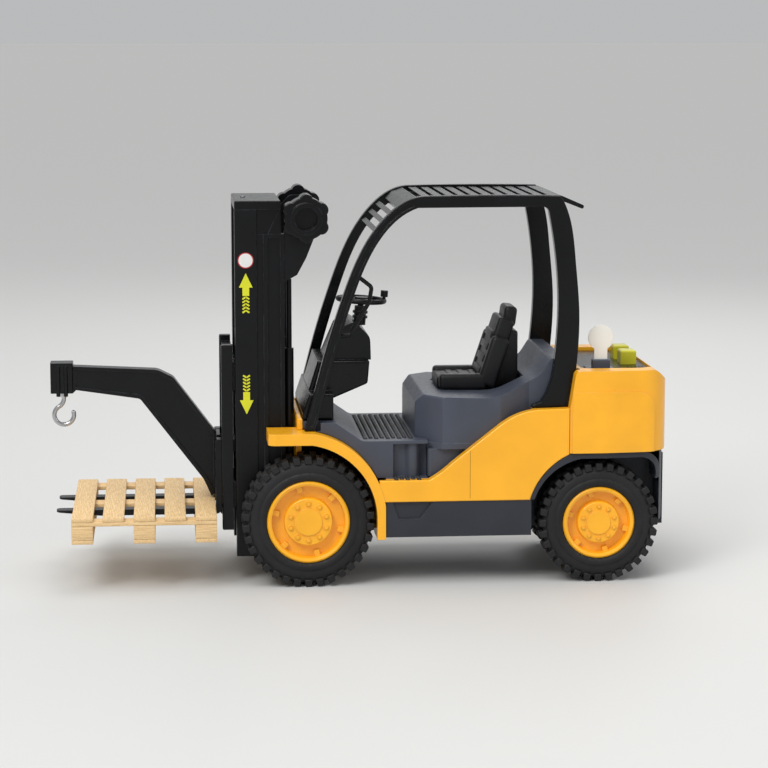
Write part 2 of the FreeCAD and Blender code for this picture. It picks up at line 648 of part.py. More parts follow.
def dashboard():
    """Dashboard: pedestal on the wheel cover, lower pod and upper cowl, narrower towards the top."""
    pedestal = side_prism([(-1.8, 82.7), (13.6, 82.7), (13.6, 96.0), (1.6, 96.0), (-1.8, 86.0)], -37.0, 37.0)
    pedestal = rounded(pedestal, 1.2, flat_at("Y", -37.0))
    lower = side_prism([(1.0, 93.2), (14.0, 91.6, 3.0), (32.0, 99.2, 2.0), (33.0, 111.0, 1.0), (6.5, 111.0)],
                       -24.0, 24.0)
    upper = side_prism([(10.5, 110.8), (17.5, 127.0, 3.0), (25.5, 130.4, 3.0), (33.6, 122.6, 6.0), (34.0, 110.8)],
                       -19.0, 19.0)
    pod = joined(rounded(lower, 1.5, flat_at("Y", -24.0)), upper, pedestal)
    return pod.cut(column_axis_rod(3.2, -13.0, 30.0)).cut(column_axis_rod(4.1, -9.8, 30.0))


def column_axis_rod(radius, low, high):
    """Cylinder on the steering axis, between two distances below and above the wheel's plane."""
    lean = math.radians(WHEEL_TILT)
    up = Vector(math.sin(lean), 0, math.cos(lean))
    centre = Vector(WHEEL_X, 0, WHEEL_Z)
    return Part.makeCylinder(radius, high - low, centre + up * low, up)


def steering_column():
    """Column with a ribbed boot, bored for the wheel's stub."""
    rings = [column_axis_rod(3.9, low, low + 1.2) for low in (-9.4, -6.9)]
    column = joined(column_axis_rod(3.1, -12.9, -3.2), *rings)
    return column.cut(column_axis_rod(STUB_R + RUNNING_GAP, -11.0, 0.0))


def steering_wheel():
    """Steering wheel: ring, hub, three spokes, stub and spinner knob."""
    ring = Part.makeTorus(STEER_R - RING_R, RING_R)
    hub = Part.makeCylinder(3.4, 3.0, Vector(0, 0, -1.6))
    stub = Part.makeCylinder(STUB_R, 9.6, Vector(0, 0, -10.8))
    spokes = []
    for i in range(3):
        spoke = box(0, STEER_R - 1.4, -1.3, 1.3, -0.8, 0.8)
        spoke.rotate(NOWHERE, Vector(0, 0, 1), 120 * i + 60)
        spokes.append(spoke)
    spinner = joined(Part.makeCylinder(0.9, 2.0, Vector(STEER_R - 1.4, 0, 0.6)),
                     Part.makeCylinder(1.9, 3.2, Vector(STEER_R - 1.4, 0, 2.2)))
    wheel = joined(ring, hub, stub, spinner, *spokes)
    wheel.rotate(NOWHERE, Y_AXIS, WHEEL_TILT)
    wheel.translate(Vector(WHEEL_X, 0, WHEEL_Z))
    return wheel


def seat_cushion():
    """Seat cushion with its two side bolsters."""
    pad = side_prism([(68.5, SEAT_Z), (69.5, 101.0, 2.0), (93.0, 99.6, 1.0), (93.0, SEAT_Z)],
                     -PAD_HALF, PAD_HALF)
    bolster = side_prism([(70.0, SEAT_Z), (70.6, 102.6, 1.5), (90.5, 102.2, 1.5), (91.5, SEAT_Z)],
                         -SEAT_HALF, -PAD_HALF)
    return joined(pad, bolster, mirrored(bolster))


def seat_back():
    """Seat back leaning to the rear, with side bolsters and a narrower head rest."""
    back = side_prism([(93.3, SEAT_Z), (93.4, 101.0), (104.0, 132.0, 3.0), (110.5, 132.0, 2.0),
                       (111.0, SEAT_Z, 2.0)], -PAD_HALF, PAD_HALF)
    bolster = side_prism([(91.9, SEAT_Z), (92.0, 104.0, 1.0), (98.6, 121.0, 2.0), (109.0, 121.0, 1.5),
                          (110.0, SEAT_Z)], -SEAT_HALF, -PAD_HALF)
    head = side_prism([(103.0, 126.0), (104.4, 136.2, 2.5), (110.4, 136.2, 2.5), (110.4, 126.0)], -10.0, 10.0)
    return joined(back, bolster, mirrored(bolster), head)


# ---- mast ---------------------------------------------------------------------------------------------------
def mast_channel():
    """Left front channel, open towards the middle; the carriage's shoes run in it."""
    lip_y, web_y, wall = -22.0, -27.0, 2.0
    section = [(CHANNEL_FRONT, -MAST_HALF, 0.8), (CHANNEL_BACK, -MAST_HALF), (CHANNEL_BACK, lip_y),
               (CHANNEL_BACK - wall, lip_y), (CHANNEL_BACK - wall, web_y), (CHANNEL_FRONT + wall, web_y),
               (CHANNEL_FRONT + wall, lip_y), (CHANNEL_FRONT, lip_y)]
    return plan_prism(section, MAST_BOTTOM, MAST_TOP - CAP_T)


def mast_rail():
    """Left rear rail with a sunk face between raised borders, and the web that joins it to the channel."""
    border, sunk = 2.0, 1.2
    rail = box(RAIL_FRONT, RAIL_BACK, -MAST_HALF, -RAIL_INNER, MAST_BOTTOM, RAIL_TOP)
    rail = rail.cut(box(RAIL_FRONT + border, RAIL_BACK - border, -MAST_HALF - 1, -MAST_HALF + sunk,
                        MAST_BOTTOM - 1, RAIL_TOP - border))
    web = box(CHANNEL_BACK, RAIL_FRONT + 0.1, -28.6, -26.0, MAST_BOTTOM, RAIL_TOP)
    return joined(rail, web)


def mast_crosshead():
    """Cap across the mast's top, with end cheeks down to the rails, diagonal ribs and a guide pin below."""
    under = MAST_TOP - CAP_T + 0.1
    cap = box(CHANNEL_FRONT, -12.0, -MAST_HALF, MAST_HALF, MAST_TOP - CAP_T, MAST_TOP)
    cap = rounded(cap, 0.9, flat_at("Z", MAST_TOP))
    cheek = box(CHANNEL_BACK, -12.0, -28.4, -26.0, RAIL_TOP, under)
    rib = side_prism([(-18.6, RAIL_TOP), (-12.6, under), (-12.0, under - 1.3), (-12.0, RAIL_TOP)], -29.3, -28.3)
    pin_x, pin_z, pin_r = -29.0, 184.8, 1.3
    lug = side_prism([(pin_x - 3.5, under), (pin_x - 3.5, pin_z - 2.2, 1.5), (pin_x + 3.5, pin_z - 2.2, 1.5),
                      (pin_x + 3.5, under)], -5.0, -3.0)
    pin = rod_y(pin_x, pin_z, pin_r, -4.0, 4.0)
    return joined(cap, cheek, mirrored(cheek), rib, mirrored(rib), lug, mirrored(lug), pin)


def mast_crossbars():
    """Bars that tie the two rear rails together."""
    bars = []
    for x1, z0, z1 in ((-10.1, 38.0, 50.0), (-13.5, 98.0, 106.0), (-13.5, 160.0, 168.0)):
        bars.append(box(-17.5, x1, -RAIL_INNER, RAIL_INNER, z0, z1))
    return group(*bars)


def lift_cylinders():
    """Two slim lift cylinders behind the rails, each a barrel with its rod."""
    parts = []
    for y in (-24.0, 24.0):
        barrel = rod_z(-8.0, y, 2.3, 50.0, 118.0)
        rod = rod_z(-8.0, y, 1.4, 117.0, 153.0)
        parts.append(joined(barrel, rod))
    return group(*parts)


def winch_bracket():
    """Left bracket behind the rail that carries the winch shaft, tapering down the rail."""
    plate = side_prism([(RAIL_BACK, 152.0), (-4.0, 155.5), (0.6, 164.0, 4.0), (4.6, 174.0, 3.0), (8.6, 183.0, 4.0),
                        (8.0, 192.0, 4.0), (-5.0, 192.0, 4.0), (RAIL_BACK, 186.0)], -MAST_HALF + 0.3, -25.5)
    return plate.cut(rod_y(WINCH_X, WINCH_Z, SHAFT_R + RUNNING_GAP, -31, -24))


def winch_shaft():
    """Shaft across the back of the mast with its winding drum and the drum's flanges."""
    half = KNOB_FACE - SHAFT_DEPTH
    drum_half, flange_t = 9.0, 1.2
    drum = [rod_y(WINCH_X, WINCH_Z, DRUM_R, -drum_half, drum_half)]
    for start in (-drum_half, drum_half - flange_t):
        drum.append(rod_y(WINCH_X, WINCH_Z, 6.6, start, start + flange_t))
    return joined(rod_y(WINCH_X, WINCH_Z, SHAFT_R, -half, half), *drum)


def winch_knob():
    """Left winch knob: six lobes, a raised ring and a round finger hole in its face."""
    inner = -30.4
    grip_face = -KNOB_FACE + 1.4
    knob = rod_y(WINCH_X, WINCH_Z, KNOB_R - 1.6, grip_face, inner)
    reach = KNOB_R - LOBE_R
    lobes = []
    for i in range(6):
        angle = math.radians(60 * i + 30)
        lobes.append(rod_y(WINCH_X + reach * math.cos(angle), WINCH_Z + reach * math.sin(angle), LOBE_R,
                           grip_face, inner))
    ring = rod_y(WINCH_X, WINCH_Z, KNOB_HOLE_R + 2.0, -KNOB_FACE, inner)
    knob = joined(knob, ring, *lobes)
    knob = rounded(knob, 0.7, flat_at("Y", grip_face))
    knob = knob.cut(rod_y(WINCH_X, WINCH_Z, KNOB_HOLE_R, -KNOB_FACE - 1, -KNOB_FACE + KNOB_HOLE_DEPTH))
    return knob.cut(rod_y(WINCH_X, WINCH_Z, SHAFT_R, -KNOB_FACE + SHAFT_DEPTH, inner + 1))


# ---- carriage, forks and crane arm ---------------------------------------------------------------------------
def carriage_frame():
    """Carriage: two uprights, four cross bars, arms back into the channels with a shoe above and below."""
    upright = box(CARRIAGE_FRONT, CARRIAGE_BACK, -CARRIAGE_HALF, -CARRIAGE_HALF + 5.0, CARRIAGE_BOTTOM, CARRIAGE_TOP)
    upright = upright.makeFillet(0.8, [e for e in upright.Edges if e.BoundBox.XMax < CARRIAGE_FRONT + 0.1])
    bars = [box(CARRIAGE_FRONT + 1.2, CARRIAGE_BACK, -CARRIAGE_HALF + 1, CARRIAGE_HALF - 1, z, z + 7.0)
            for z in (CARRIAGE_BOTTOM + 3.0, 60.0, CARRIAGE_TOP - 10.0)]
    shoes = []
    shoe_h = 13.0
    for z in (36.0, 96.0):
        arm = box(CARRIAGE_BACK - 0.1, -28.2, -21.4, -18.6, z, z + shoe_h)
        shoe = joined(arm, box(-32.9, -26.7, -26.6, -21.3, z, z + shoe_h))
        shoes.extend([shoe, mirrored(shoe)])
    bridge = box(CARRIAGE_BACK - 0.1, -28.2, -4.0, 4.0, 107.4, 110.3)
    back_bar = box(-36.7, -34.4, -20.0, 20.0, 96.0, 110.3)
    return joined(upright, mirrored(upright), *bars, *shoes, back_bar, bridge)


def fork():
    """Left fork: blade with a tapered tip, heel, and a shank hung on the carriage's bars."""
    y0, y1 = -FORK_Y - FORK_W / 2, -FORK_Y + FORK_W / 2
    heel = CARRIAGE_FRONT - 3.4
    blade = [(FORK_TIP, FORK_TOP), (FORK_TIP, FORK_TOP - 1.0), (FORK_TIP + 22.0, FORK_TOP - FORK_T),
             (CARRIAGE_FRONT - 0.05, FORK_TOP - FORK_T, 3.0), (CARRIAGE_FRONT - 0.05, 71.0),
             (heel + 0.2, 71.0, 1.0), (heel + 0.2, FORK_TOP)]
    solid = side_prism(blade, y0, y1)
    return solid.makeFillet(2.4, [e for e in solid.Edges
                                  if e.BoundBox.XMax < FORK_TIP + 0.1 and e.BoundBox.ZLength > 0.5])


def crane_arm():
    """Crane arm: base plate that hangs on the carriage, bent beam with edge ribs, head block for the hook."""
    half = 4.0
    beam_outline = [(FRONT_END, HEAD_BOTTOM), (FRONT_END, HEAD_TOP, 0.6), (HEAD_BACK, HEAD_TOP), (-117.4, 107.0),
                    (-74.5, 104.8, 8.0), (-66.5, 100.8, 6.0), (-44.7, 71.5), (-44.7, 41.2), (-47.5, 38.6),
                    (-51.5, 47.6), (-83.6, 89.9, 3.0), (-116.0, 94.8), (HEAD_BACK, HEAD_BOTTOM)]
    beam = side_prism(beam_outline, -half + 1.2, half - 1.2)
    core = side_prism([(-116.2, 96.4), (-116.2, 105.3), (-75.0, 103.2, 7.0), (-67.4, 99.4, 5.0), (-46.2, 70.6),
                       (-46.2, 42.6), (-50.4, 49.6), (-82.8, 91.8, 3.0)], -10, 10)
    rib = side_prism(beam_outline, -half, half).cut(core)
    base_half = 9.0
    base = box(-44.8, CARRIAGE_FRONT - 0.3, -base_half, base_half, 38.0, 71.5)
    hook_over = box(-44.8, CARRIAGE_BACK + 2.2, -base_half, base_half, 67.4, 69.0)
    down_behind = box(CARRIAGE_BACK + 0.3, CARRIAGE_BACK + 2.2, -base_half, base_half, 62.4, 69.0)
    head = box(FRONT_END, HEAD_BACK, -5.5, 5.5, HEAD_BOTTOM, HEAD_TOP)
    head = rounded(head, 0.8, lambda e: e.BoundBox.ZLength > 5)
    rods = [rod_z(x, y, 1.1, HEAD_BOTTOM - 1.5, HEAD_TOP - 1.5) for x in (-125.0, -121.2) for y in (-5.3, 5.3)]
    arm = joined(beam, rib, base, hook_over, down_behind, head, *rods)
    return arm.cut(rod_z(HOOK_X, 0, SHANK_R + RUNNING_GAP, 92.0, 101.0)).cut(rod_z(HOOK_X, 0, 2.6, 97.0, 102.4))


def hook():
    """Hook: round shank with a retaining collar, bend of round wire, drawn out to a rounded tip."""
    neck_z = HOOK_Z + HOOK_BEND_R * math.sqrt(3)
    collar = rod_z(HOOK_X, 0, 2.3, 97.6, 101.6)
    shank = rod_z(HOOK_X, 0, SHANK_R, neck_z + 1.0, 98.0)
    cone = Part.makeCone(HOOK_WIRE_R, SHANK_R, 1.2, Vector(HOOK_X, 0, neck_z))
    start = Part.Face(Part.Wire(Part.makeCircle(HOOK_WIRE_R, Vector(HOOK_X, 0, neck_z), Vector(0, 0, 1))))
    neck = start.revolve(Vector(HOOK_X - HOOK_BEND_R, 0, neck_z), Y_AXIS, 60)
    rise = math.radians(15)
    tip_at = Vector(HOOK_X + HOOK_BEND_R * math.cos(rise), 0, HOOK_Z + HOOK_BEND_R * math.sin(rise))
    along = Vector(-math.sin(rise), 0, math.cos(rise))
    end = Part.Face(Part.Wire(Part.makeCircle(HOOK_WIRE_R, tip_at, along)))
    bend = end.revolve(Vector(HOOK_X, 0, HOOK_Z), Y_AXIS, 255)
    tip = Part.makeSphere(HOOK_WIRE_R, tip_at)
    return joined(shank, collar, cone, neck, bend, tip)


# ---- pallet -------------------------------------------------------------------------------------------------
def across(count, width, total):
    """Start positions of equal pieces spread over a total, the first and last flush with its ends."""
    return [i * (total - width) / (count - 1) for i in range(count)]


def pallet_slats():
    """Five deck slats across the forks."""
    return group(*[box(PALLET_FRONT + a, PALLET_FRONT + a + SLAT_W, -PALLET_W / 2, PALLET_W / 2,
                       PALLET_TOP - BOARD_T, PALLET_TOP) for a in across(SLATS, SLAT_W, PALLET_L)])


def pallet_bearers():
    """Three bearers under the slats, along the forks."""
    return group(*[box(PALLET_FRONT, PALLET_FRONT + PALLET_L, -PALLET_W / 2 + a, -PALLET_W / 2 + a + BLOCK_W,
                       PALLET_TOP - 2 * BOARD_T, PALLET_TOP - BOARD_T) for a in across(3, BLOCK_W, PALLET_W)])


def pallet_blocks():
    """Nine blocks between the bearers and the bottom boards."""
    return group(*[box(PALLET_FRONT + a, PALLET_FRONT + a + BLOCK_L, -PALLET_W / 2 + b, -PALLET_W / 2 + b + BLOCK_W,
                       PALLET_BOTTOM + BOARD_T, PALLET_TOP - 2 * BOARD_T)
                   for a in across(3, BLOCK_L, PALLET_L) for b in across(3, BLOCK_W, PALLET_W)])


def pallet_skids():
    """Three bottom boards, across the forks."""
    return group(*[box(PALLET_FRONT + a, PALLET_FRONT + a + BLOCK_L, -PALLET_W / 2, PALLET_W / 2,
                       PALLET_BOTTOM, PALLET_BOTTOM + BOARD_T) for a in across(3, BLOCK_L, PALLET_L)])


# ---- fasteners ----------------------------------------------------------------------------------------------
def screws():
    """Screw heads that show: on the cross-head, the pillars' feet, the battery lid and under the chassis."""
    head_t = 0.5
    heads = [rod_z(-30.0, 0, SCREW_R, MAST_TOP, MAST_TOP + head_t),
             rod_z(153.8, -25.4, SCREW_R, LID_TOP, LID_TOP + head_t)]
    for sign in (-1, 1):
        seat_z = SHOULDER_Z + FOOT_SCREW_SET
        heads.append(rod_z(FOOT_SCREW_X, sign * FOOT_SCREW_Y, FOOT_SCREW_R, seat_z, seat_z + head_t))
        for x in (50.0, 100.0):
            heads.append(rod_z(x, sign * 20.0, SCREW_R, SKIRT_Z - head_t, SKIRT_Z))
    return group(*heads)


# ---- write every sub-part -----------------------------------------------------------------------------------
os.makedirs("parts", exist_ok=True)

for label, axle_x, tyre_r, rim_r, tyre_w in (("front", 0.0, FRONT_TYRE_R, FRONT_RIM_R, FRONT_TYRE_W),
                                             ("rear", WHEELBASE, REAR_TYRE_R, REAR_RIM_R, REAR_TYRE_W)):
    save(label + "_axle", axle(axle_x, tyre_r))
    save_pair(label + "_rim", rim(axle_x, tyre_r, rim_r, tyre_w))
    save_pair(label + "_tyre", tyre(axle_x, tyre_r, rim_r, tyre_w))

save("chassis", chassis())
save_pair("body_side", body_side())
save("front_cowl", front_cowl())
save("counterweight", counterweight())
save_pair("arch_liner", arch_liner())
save("cab_floor", cab_floor())
save("seat_hood", seat_hood())

save("control_panel", control_panel())
save("battery_cover", battery_cover())
save("battery_cells", battery_cells())
save("pull_tab", pull_tab())
save("sound_button", push_button(-BUTTON_Y))
save("light_button", push_button(BUTTON_Y))
save("circuit_board", box(158.5, BOARD_BACK, -BOARD_HALF, BOARD_HALF, BOARD_TOP - 1.4, BOARD_TOP))
save("tact_switches", group(*[box(BUTTON_X - 3.0, BUTTON_X + 3.0, y - 3.0, y + 3.0, BOARD_TOP, SWITCH_TOP)
                              for y in (-BUTTON_Y, BUTTON_Y)]))
save("speaker", rod_z(151.0, 10.0, 7.0, 99.4, PANEL_FLOOR))

save_pair("guard", guard_side())
save("roof_grille", roof_grille())
save("grab_handle", grab_handle())
save("dashboard", dashboard())
save("steering_column", steering_column())
save("steering_wheel", steering_wheel())
save("seat_cushion", seat_cushion())
save("seat_back", seat_back())

save_pair("mast_channel", mast_channel())
save_pair("mast_rail", mast_rail())
save("mast_crosshead", mast_crosshead())
save("mast_crossbars", mast_crossbars())
save("lift_cylinders", lift_cylinders())
save_pair("winch_bracket", winch_bracket())
save("winch_shaft", winch_shaft())
save_pair("winch_knob", winch_knob())

save("carriage_frame", carriage_frame())
save_pair("fork", fork())
save("crane_arm", crane_arm())
save("hook", hook())

save("pallet_slats", pallet_slats())
save("pallet_bearers", pallet_bearers())
save("pallet_blocks", pallet_blocks())
save("pallet_skids", pallet_skids())

save("screws", screws())
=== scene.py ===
"""Toy forklift: finishes, tyres, seat, pallet, decals, tread studs and studio, over its CAD frame."""

import json
import logging
import math
from dataclasses import dataclass, field
from enum import Enum

import bmesh
import bpy
from mathutils import Matrix, Vector


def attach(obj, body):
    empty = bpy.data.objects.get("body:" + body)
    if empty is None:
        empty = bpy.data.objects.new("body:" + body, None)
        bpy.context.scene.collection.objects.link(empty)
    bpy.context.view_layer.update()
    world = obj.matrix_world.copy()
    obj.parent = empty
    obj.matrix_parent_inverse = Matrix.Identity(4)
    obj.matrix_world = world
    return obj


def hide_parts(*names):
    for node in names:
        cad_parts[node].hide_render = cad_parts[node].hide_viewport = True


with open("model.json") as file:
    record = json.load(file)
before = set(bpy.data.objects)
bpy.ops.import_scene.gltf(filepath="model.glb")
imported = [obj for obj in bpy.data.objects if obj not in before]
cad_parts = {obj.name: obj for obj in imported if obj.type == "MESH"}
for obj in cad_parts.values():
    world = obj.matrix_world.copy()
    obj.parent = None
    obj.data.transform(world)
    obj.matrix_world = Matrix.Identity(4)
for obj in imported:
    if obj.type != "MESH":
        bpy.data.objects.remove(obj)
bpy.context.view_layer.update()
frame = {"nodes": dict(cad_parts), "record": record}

LOG = logging.getLogger("forklift")
ORIGIN_X = 29.0
MM = 0.001
SHARP_EDGE = math.radians(38)
DUST_COLOUR = (205, 200, 190)
COAT_ROUGHNESS = 0.12
BUMP_DEPTH = 0.2 * MM
Triple = tuple[float, float, float]


class Axis(Enum):
    """Direction of a round part's axis or of a board's grain."""

    X = "X"
    Y = "Y"
    Z = "Z"


def linear(colour: Triple) -> tuple[float, float, float, float]:
    """Turn a display colour into the linear one that shaders read.

    Args:
        colour: red, green and blue, each from 0 to 255.

    Returns:
        Linear red, green, blue and an alpha of 1.
    """
    parts = []
    for value in colour:
        share = value / 255.0
        parts.append(share / 12.92 if share <= 0.04045 else ((share + 0.055) / 1.055) ** 2.4)
    return parts[0], parts[1], parts[2], 1.0


def turn_to(axis: Axis) -> Matrix:
    """Rotation that lays a shape built along Z on another axis.

    Args:
        axis: the direction wanted.

    Returns:
        A 4 by 4 rotation.
    """
    if axis is Axis.X:
        return Matrix.Rotation(math.pi / 2, 4, "Y")
    if axis is Axis.Y:
        return Matrix.Rotation(-math.pi / 2, 4, "X")
    return Matrix.Identity(4)


# ---- shader node groups ------------------------------------------------------------------------


class Graph:
    """A node tree with short calls to add nodes and join sockets."""

    def __init__(self, tree: bpy.types.NodeTree) -> None:
        """Take a tree and empty it.

        Args:
            tree: the node tree to fill.
        """
        self.tree = tree
        tree.nodes.clear()

    def add(self, kind: str, **settings: object) -> bpy.types.Node:
        """Add a node and set its properties.

        Args:
            kind: the node's type name.
            settings: property names and values.

        Returns:
            The new node.
        """
        node = self.tree.nodes.new(kind)
        for key, value in settings.items():
            setattr(node, key, value)
        return node

    def join(self, source: bpy.types.NodeSocket, target: bpy.types.NodeSocket) -> None:
        """Link two sockets."""
        self.tree.links.new(source, target)

    def maths(self, how: str, first: object, second: object) -> bpy.types.NodeSocket:
        """Add a Math node.

        Args:
            how: its operation.
            first: a socket or a number.
            second: a socket or a number.

        Returns:
            The result's socket.
        """
        node = self.add("ShaderNodeMath", operation=how)
        for slot, value in zip(node.inputs, (first, second)):
            if isinstance(value, bpy.types.NodeSocket):
                self.join(value, slot)
            else:
                slot.default_value = value
        return node.outputs[0]

    def spread(self, source: bpy.types.NodeSocket, low: float, high: float,
               to_low: float = 0.0, to_high: float = 1.0) -> bpy.types.NodeSocket:
        """Map one range of values on another.

        Args:
            source: the value to map.
            low: where the range begins.
            high: where it ends.
            to_low: result at low.
            to_high: result at high.

        Returns:
            The mapped value's socket.
        """
        node = self.add("ShaderNodeMapRange")
        self.join(source, node.inputs["Value"])
        limits = (("From Min", low), ("From Max", high), ("To Min", to_low), ("To Max", to_high))
        for name, value in limits:
            node.inputs[name].default_value = value
        return node.outputs["Result"]

    def blend(self, share: object, first: object, second: object) -> bpy.types.NodeSocket:
        """Mix two colours.

        Args:
            share: how much of the second colour shows, a socket or a number.
            first: a socket or a colour.
            second: a socket or a colour.

        Returns:
            The mixed colour's socket.
        """
        node = self.add("ShaderNodeMix", data_type="RGBA")
        for slot, value in ((node.inputs[0], share), (node.inputs[6], first), (node.inputs[7], second)):
            if isinstance(value, bpy.types.NodeSocket):
                self.join(value, slot)
            else:
                slot.default_value = value
        return node.outputs[2]


class GroupKit:
    """Shared surface effects, each built once as a shader node group."""

    def __init__(self) -> None:
        """Start with no groups."""
        self.made: dict[str, bpy.types.NodeTree] = {}

    def start(self, name: str, inputs: dict[str, str], outputs: dict[str, str]) -> Graph:
        """Make an empty group with its sockets.

        Args:
            name: the group's name.
            inputs: socket names with their types.
            outputs: socket names with their types.

        Returns:
            The graph of the new group.
        """
        tree = bpy.data.node_groups.new(name, "ShaderNodeTree")
        for side, sockets in (("INPUT", inputs), ("OUTPUT", outputs)):
            for label, kind in sockets.items():
                tree.interface.new_socket(label, in_out=side, socket_type="NodeSocket" + kind)
        self.made[name] = tree
        return Graph(tree)

    def moulded_grain(self) -> bpy.types.NodeTree:
        """Fine mould grain with broad flow marks.

        Returns:
            The group: tone, gloss and height from a coordinate and a scale.
        """
        if "moulded_grain" in self.made:
            return self.made["moulded_grain"]
        graph = self.start("moulded_grain", {"Vector": "Vector", "Scale": "Float"},
                           {"Tone": "Float", "Gloss": "Float", "Height": "Float"})
        entry = graph.add("NodeGroupInput")
        leave = graph.add("NodeGroupOutput")
        fine = graph.add("ShaderNodeTexNoise")
        fine.inputs["Detail"].default_value = 3.0
        broad = graph.add("ShaderNodeTexNoise")
        broad.inputs["Scale"].default_value = 55.0
        broad.inputs["Detail"].default_value = 4.0
        smear = graph.add("ShaderNodeTexNoise")
        smear.inputs["Scale"].default_value = 420.0
        smear.inputs["Detail"].default_value = 5.0
        for node in (fine, broad, smear):
            graph.join(entry.outputs["Vector"], node.inputs["Vector"])
        graph.join(entry.outputs["Scale"], fine.inputs["Scale"])
        graph.join(graph.spread(broad.outputs[0], 0.34, 0.68), leave.inputs["Tone"])
        mixed = graph.maths("MULTIPLY", graph.spread(smear.outputs[0], 0.3, 0.7), 0.6)
        gloss = graph.maths("ADD", mixed, graph.maths("MULTIPLY", broad.outputs[0], 0.4))
        graph.join(gloss, leave.inputs["Gloss"])
        graph.join(fine.outputs[0], leave.inputs["Height"])
        return self.made["moulded_grain"]

    def edge_scuff_and_highlight(self) -> bpy.types.NodeTree:
        """Softened edges and the mask along them, for scuffing and a painted edge highlight.

        Returns:
            The group: mask and normal from a coordinate and a radius.
        """
        if "edge_scuff_and_highlight" in self.made:
            return self.made["edge_scuff_and_highlight"]
        graph = self.start("edge_scuff_and_highlight", {"Vector": "Vector", "Radius": "Float"},
                           {"Mask": "Float", "Normal": "Vector"})
        entry = graph.add("NodeGroupInput")
        leave = graph.add("NodeGroupOutput")
        soft = graph.add("ShaderNodeBevel", samples=5)
        graph.join(entry.outputs["Radius"], soft.inputs["Radius"])
        flat = graph.add("ShaderNodeNewGeometry")
        dot = graph.add("ShaderNodeVectorMath", operation="DOT_PRODUCT")
        graph.join(soft.outputs[0], dot.inputs[0])
        graph.join(flat.outputs["Normal"], dot.inputs[1])
        away = graph.maths("SUBTRACT", 1.0, dot.outputs["Value"])
        patches = graph.add("ShaderNodeTexNoise")
        patches.inputs["Scale"].default_value = 260.0
        patches.inputs["Detail"].default_value = 6.0
        graph.join(entry.outputs["Vector"], patches.inputs["Vector"])
        # Patchy edge mask: partly scuffing, partly a painted highlight along the edges.
        edge_tint = graph.maths("MULTIPLY", graph.spread(away, 0.015, 0.12),
                             graph.spread(patches.outputs[0], 0.42, 0.62, 0.15, 1.0))
        graph.join(edge_tint, leave.inputs["Mask"])
        graph.join(soft.outputs[0], leave.inputs["Normal"])
        return self.made["edge_scuff_and_highlight"]

    def dust(self) -> bpy.types.NodeTree:
        """Thin dust that lies on faces turned upwards.

        Returns:
            The group: a mask from a coordinate.
        """
        if "dust" in self.made:
            return self.made["dust"]
        graph = self.start("dust", {"Vector": "Vector"}, {"Mask": "Float"})
        entry = graph.add("NodeGroupInput")
        leave = graph.add("NodeGroupOutput")
        flat = graph.add("ShaderNodeNewGeometry")
        parts = graph.add("ShaderNodeSeparateXYZ")
        graph.join(flat.outputs["Normal"], parts.inputs[0])
        specks = graph.add("ShaderNodeTexNoise")
        specks.inputs["Scale"].default_value = 900.0
        specks.inputs["Detail"].default_value = 7.0
        graph.join(entry.outputs["Vector"], specks.inputs["Vector"])
        up = graph.spread(parts.outputs["Z"], 0.3, 1.0)
        settled = graph.maths("MULTIPLY", up, graph.spread(specks.outputs[0], 0.5, 0.75))
        graph.join(settled, leave.inputs["Mask"])
        return self.made["dust"]

    def wood_grain(self) -> bpy.types.NodeTree:
        """Streaks, growth bands and pores along a board.

        Returns:
            The group: streak, band and height from a stretched coordinate.
        """
        if "wood_grain" in self.made:
            return self.made["wood_grain"]
        graph = self.start("wood_grain", {"Vector": "Vector"},
                           {"Streak": "Float", "Band": "Float", "Height": "Float"})
        entry = graph.add("NodeGroupInput")
        leave = graph.add("NodeGroupOutput")
        streak = graph.add("ShaderNodeTexNoise")
        streak.inputs["Scale"].default_value = 2.6
        streak.inputs["Detail"].default_value = 6.0
        streak.inputs["Distortion"].default_value = 0.4
        band = graph.add("ShaderNodeTexWave", wave_type="BANDS", bands_direction="DIAGONAL")
        band.inputs["Scale"].default_value = 0.55
        band.inputs["Distortion"].default_value = 6.0
        band.inputs["Detail"].default_value = 3.0
        pores = graph.add("ShaderNodeTexNoise")
        pores.inputs["Scale"].default_value = 9.0
        pores.inputs["Detail"].default_value = 4.0
        for node in (streak, band, pores):
            graph.join(entry.outputs["Vector"], node.inputs["Vector"])
        graph.join(graph.spread(streak.outputs[0], 0.36, 0.66), leave.inputs["Streak"])
        graph.join(band.outputs["Fac"], leave.inputs["Band"])
        both = graph.maths("ADD", graph.maths("MULTIPLY", pores.outputs[0], 0.6),
                           graph.maths("MULTIPLY", streak.outputs[0], 0.4))
        graph.join(both, leave.inputs["Height"])
        return self.made["wood_grain"]


GROUPS = GroupKit()


# ---- finishes ----------------------------------------------------------------------------------


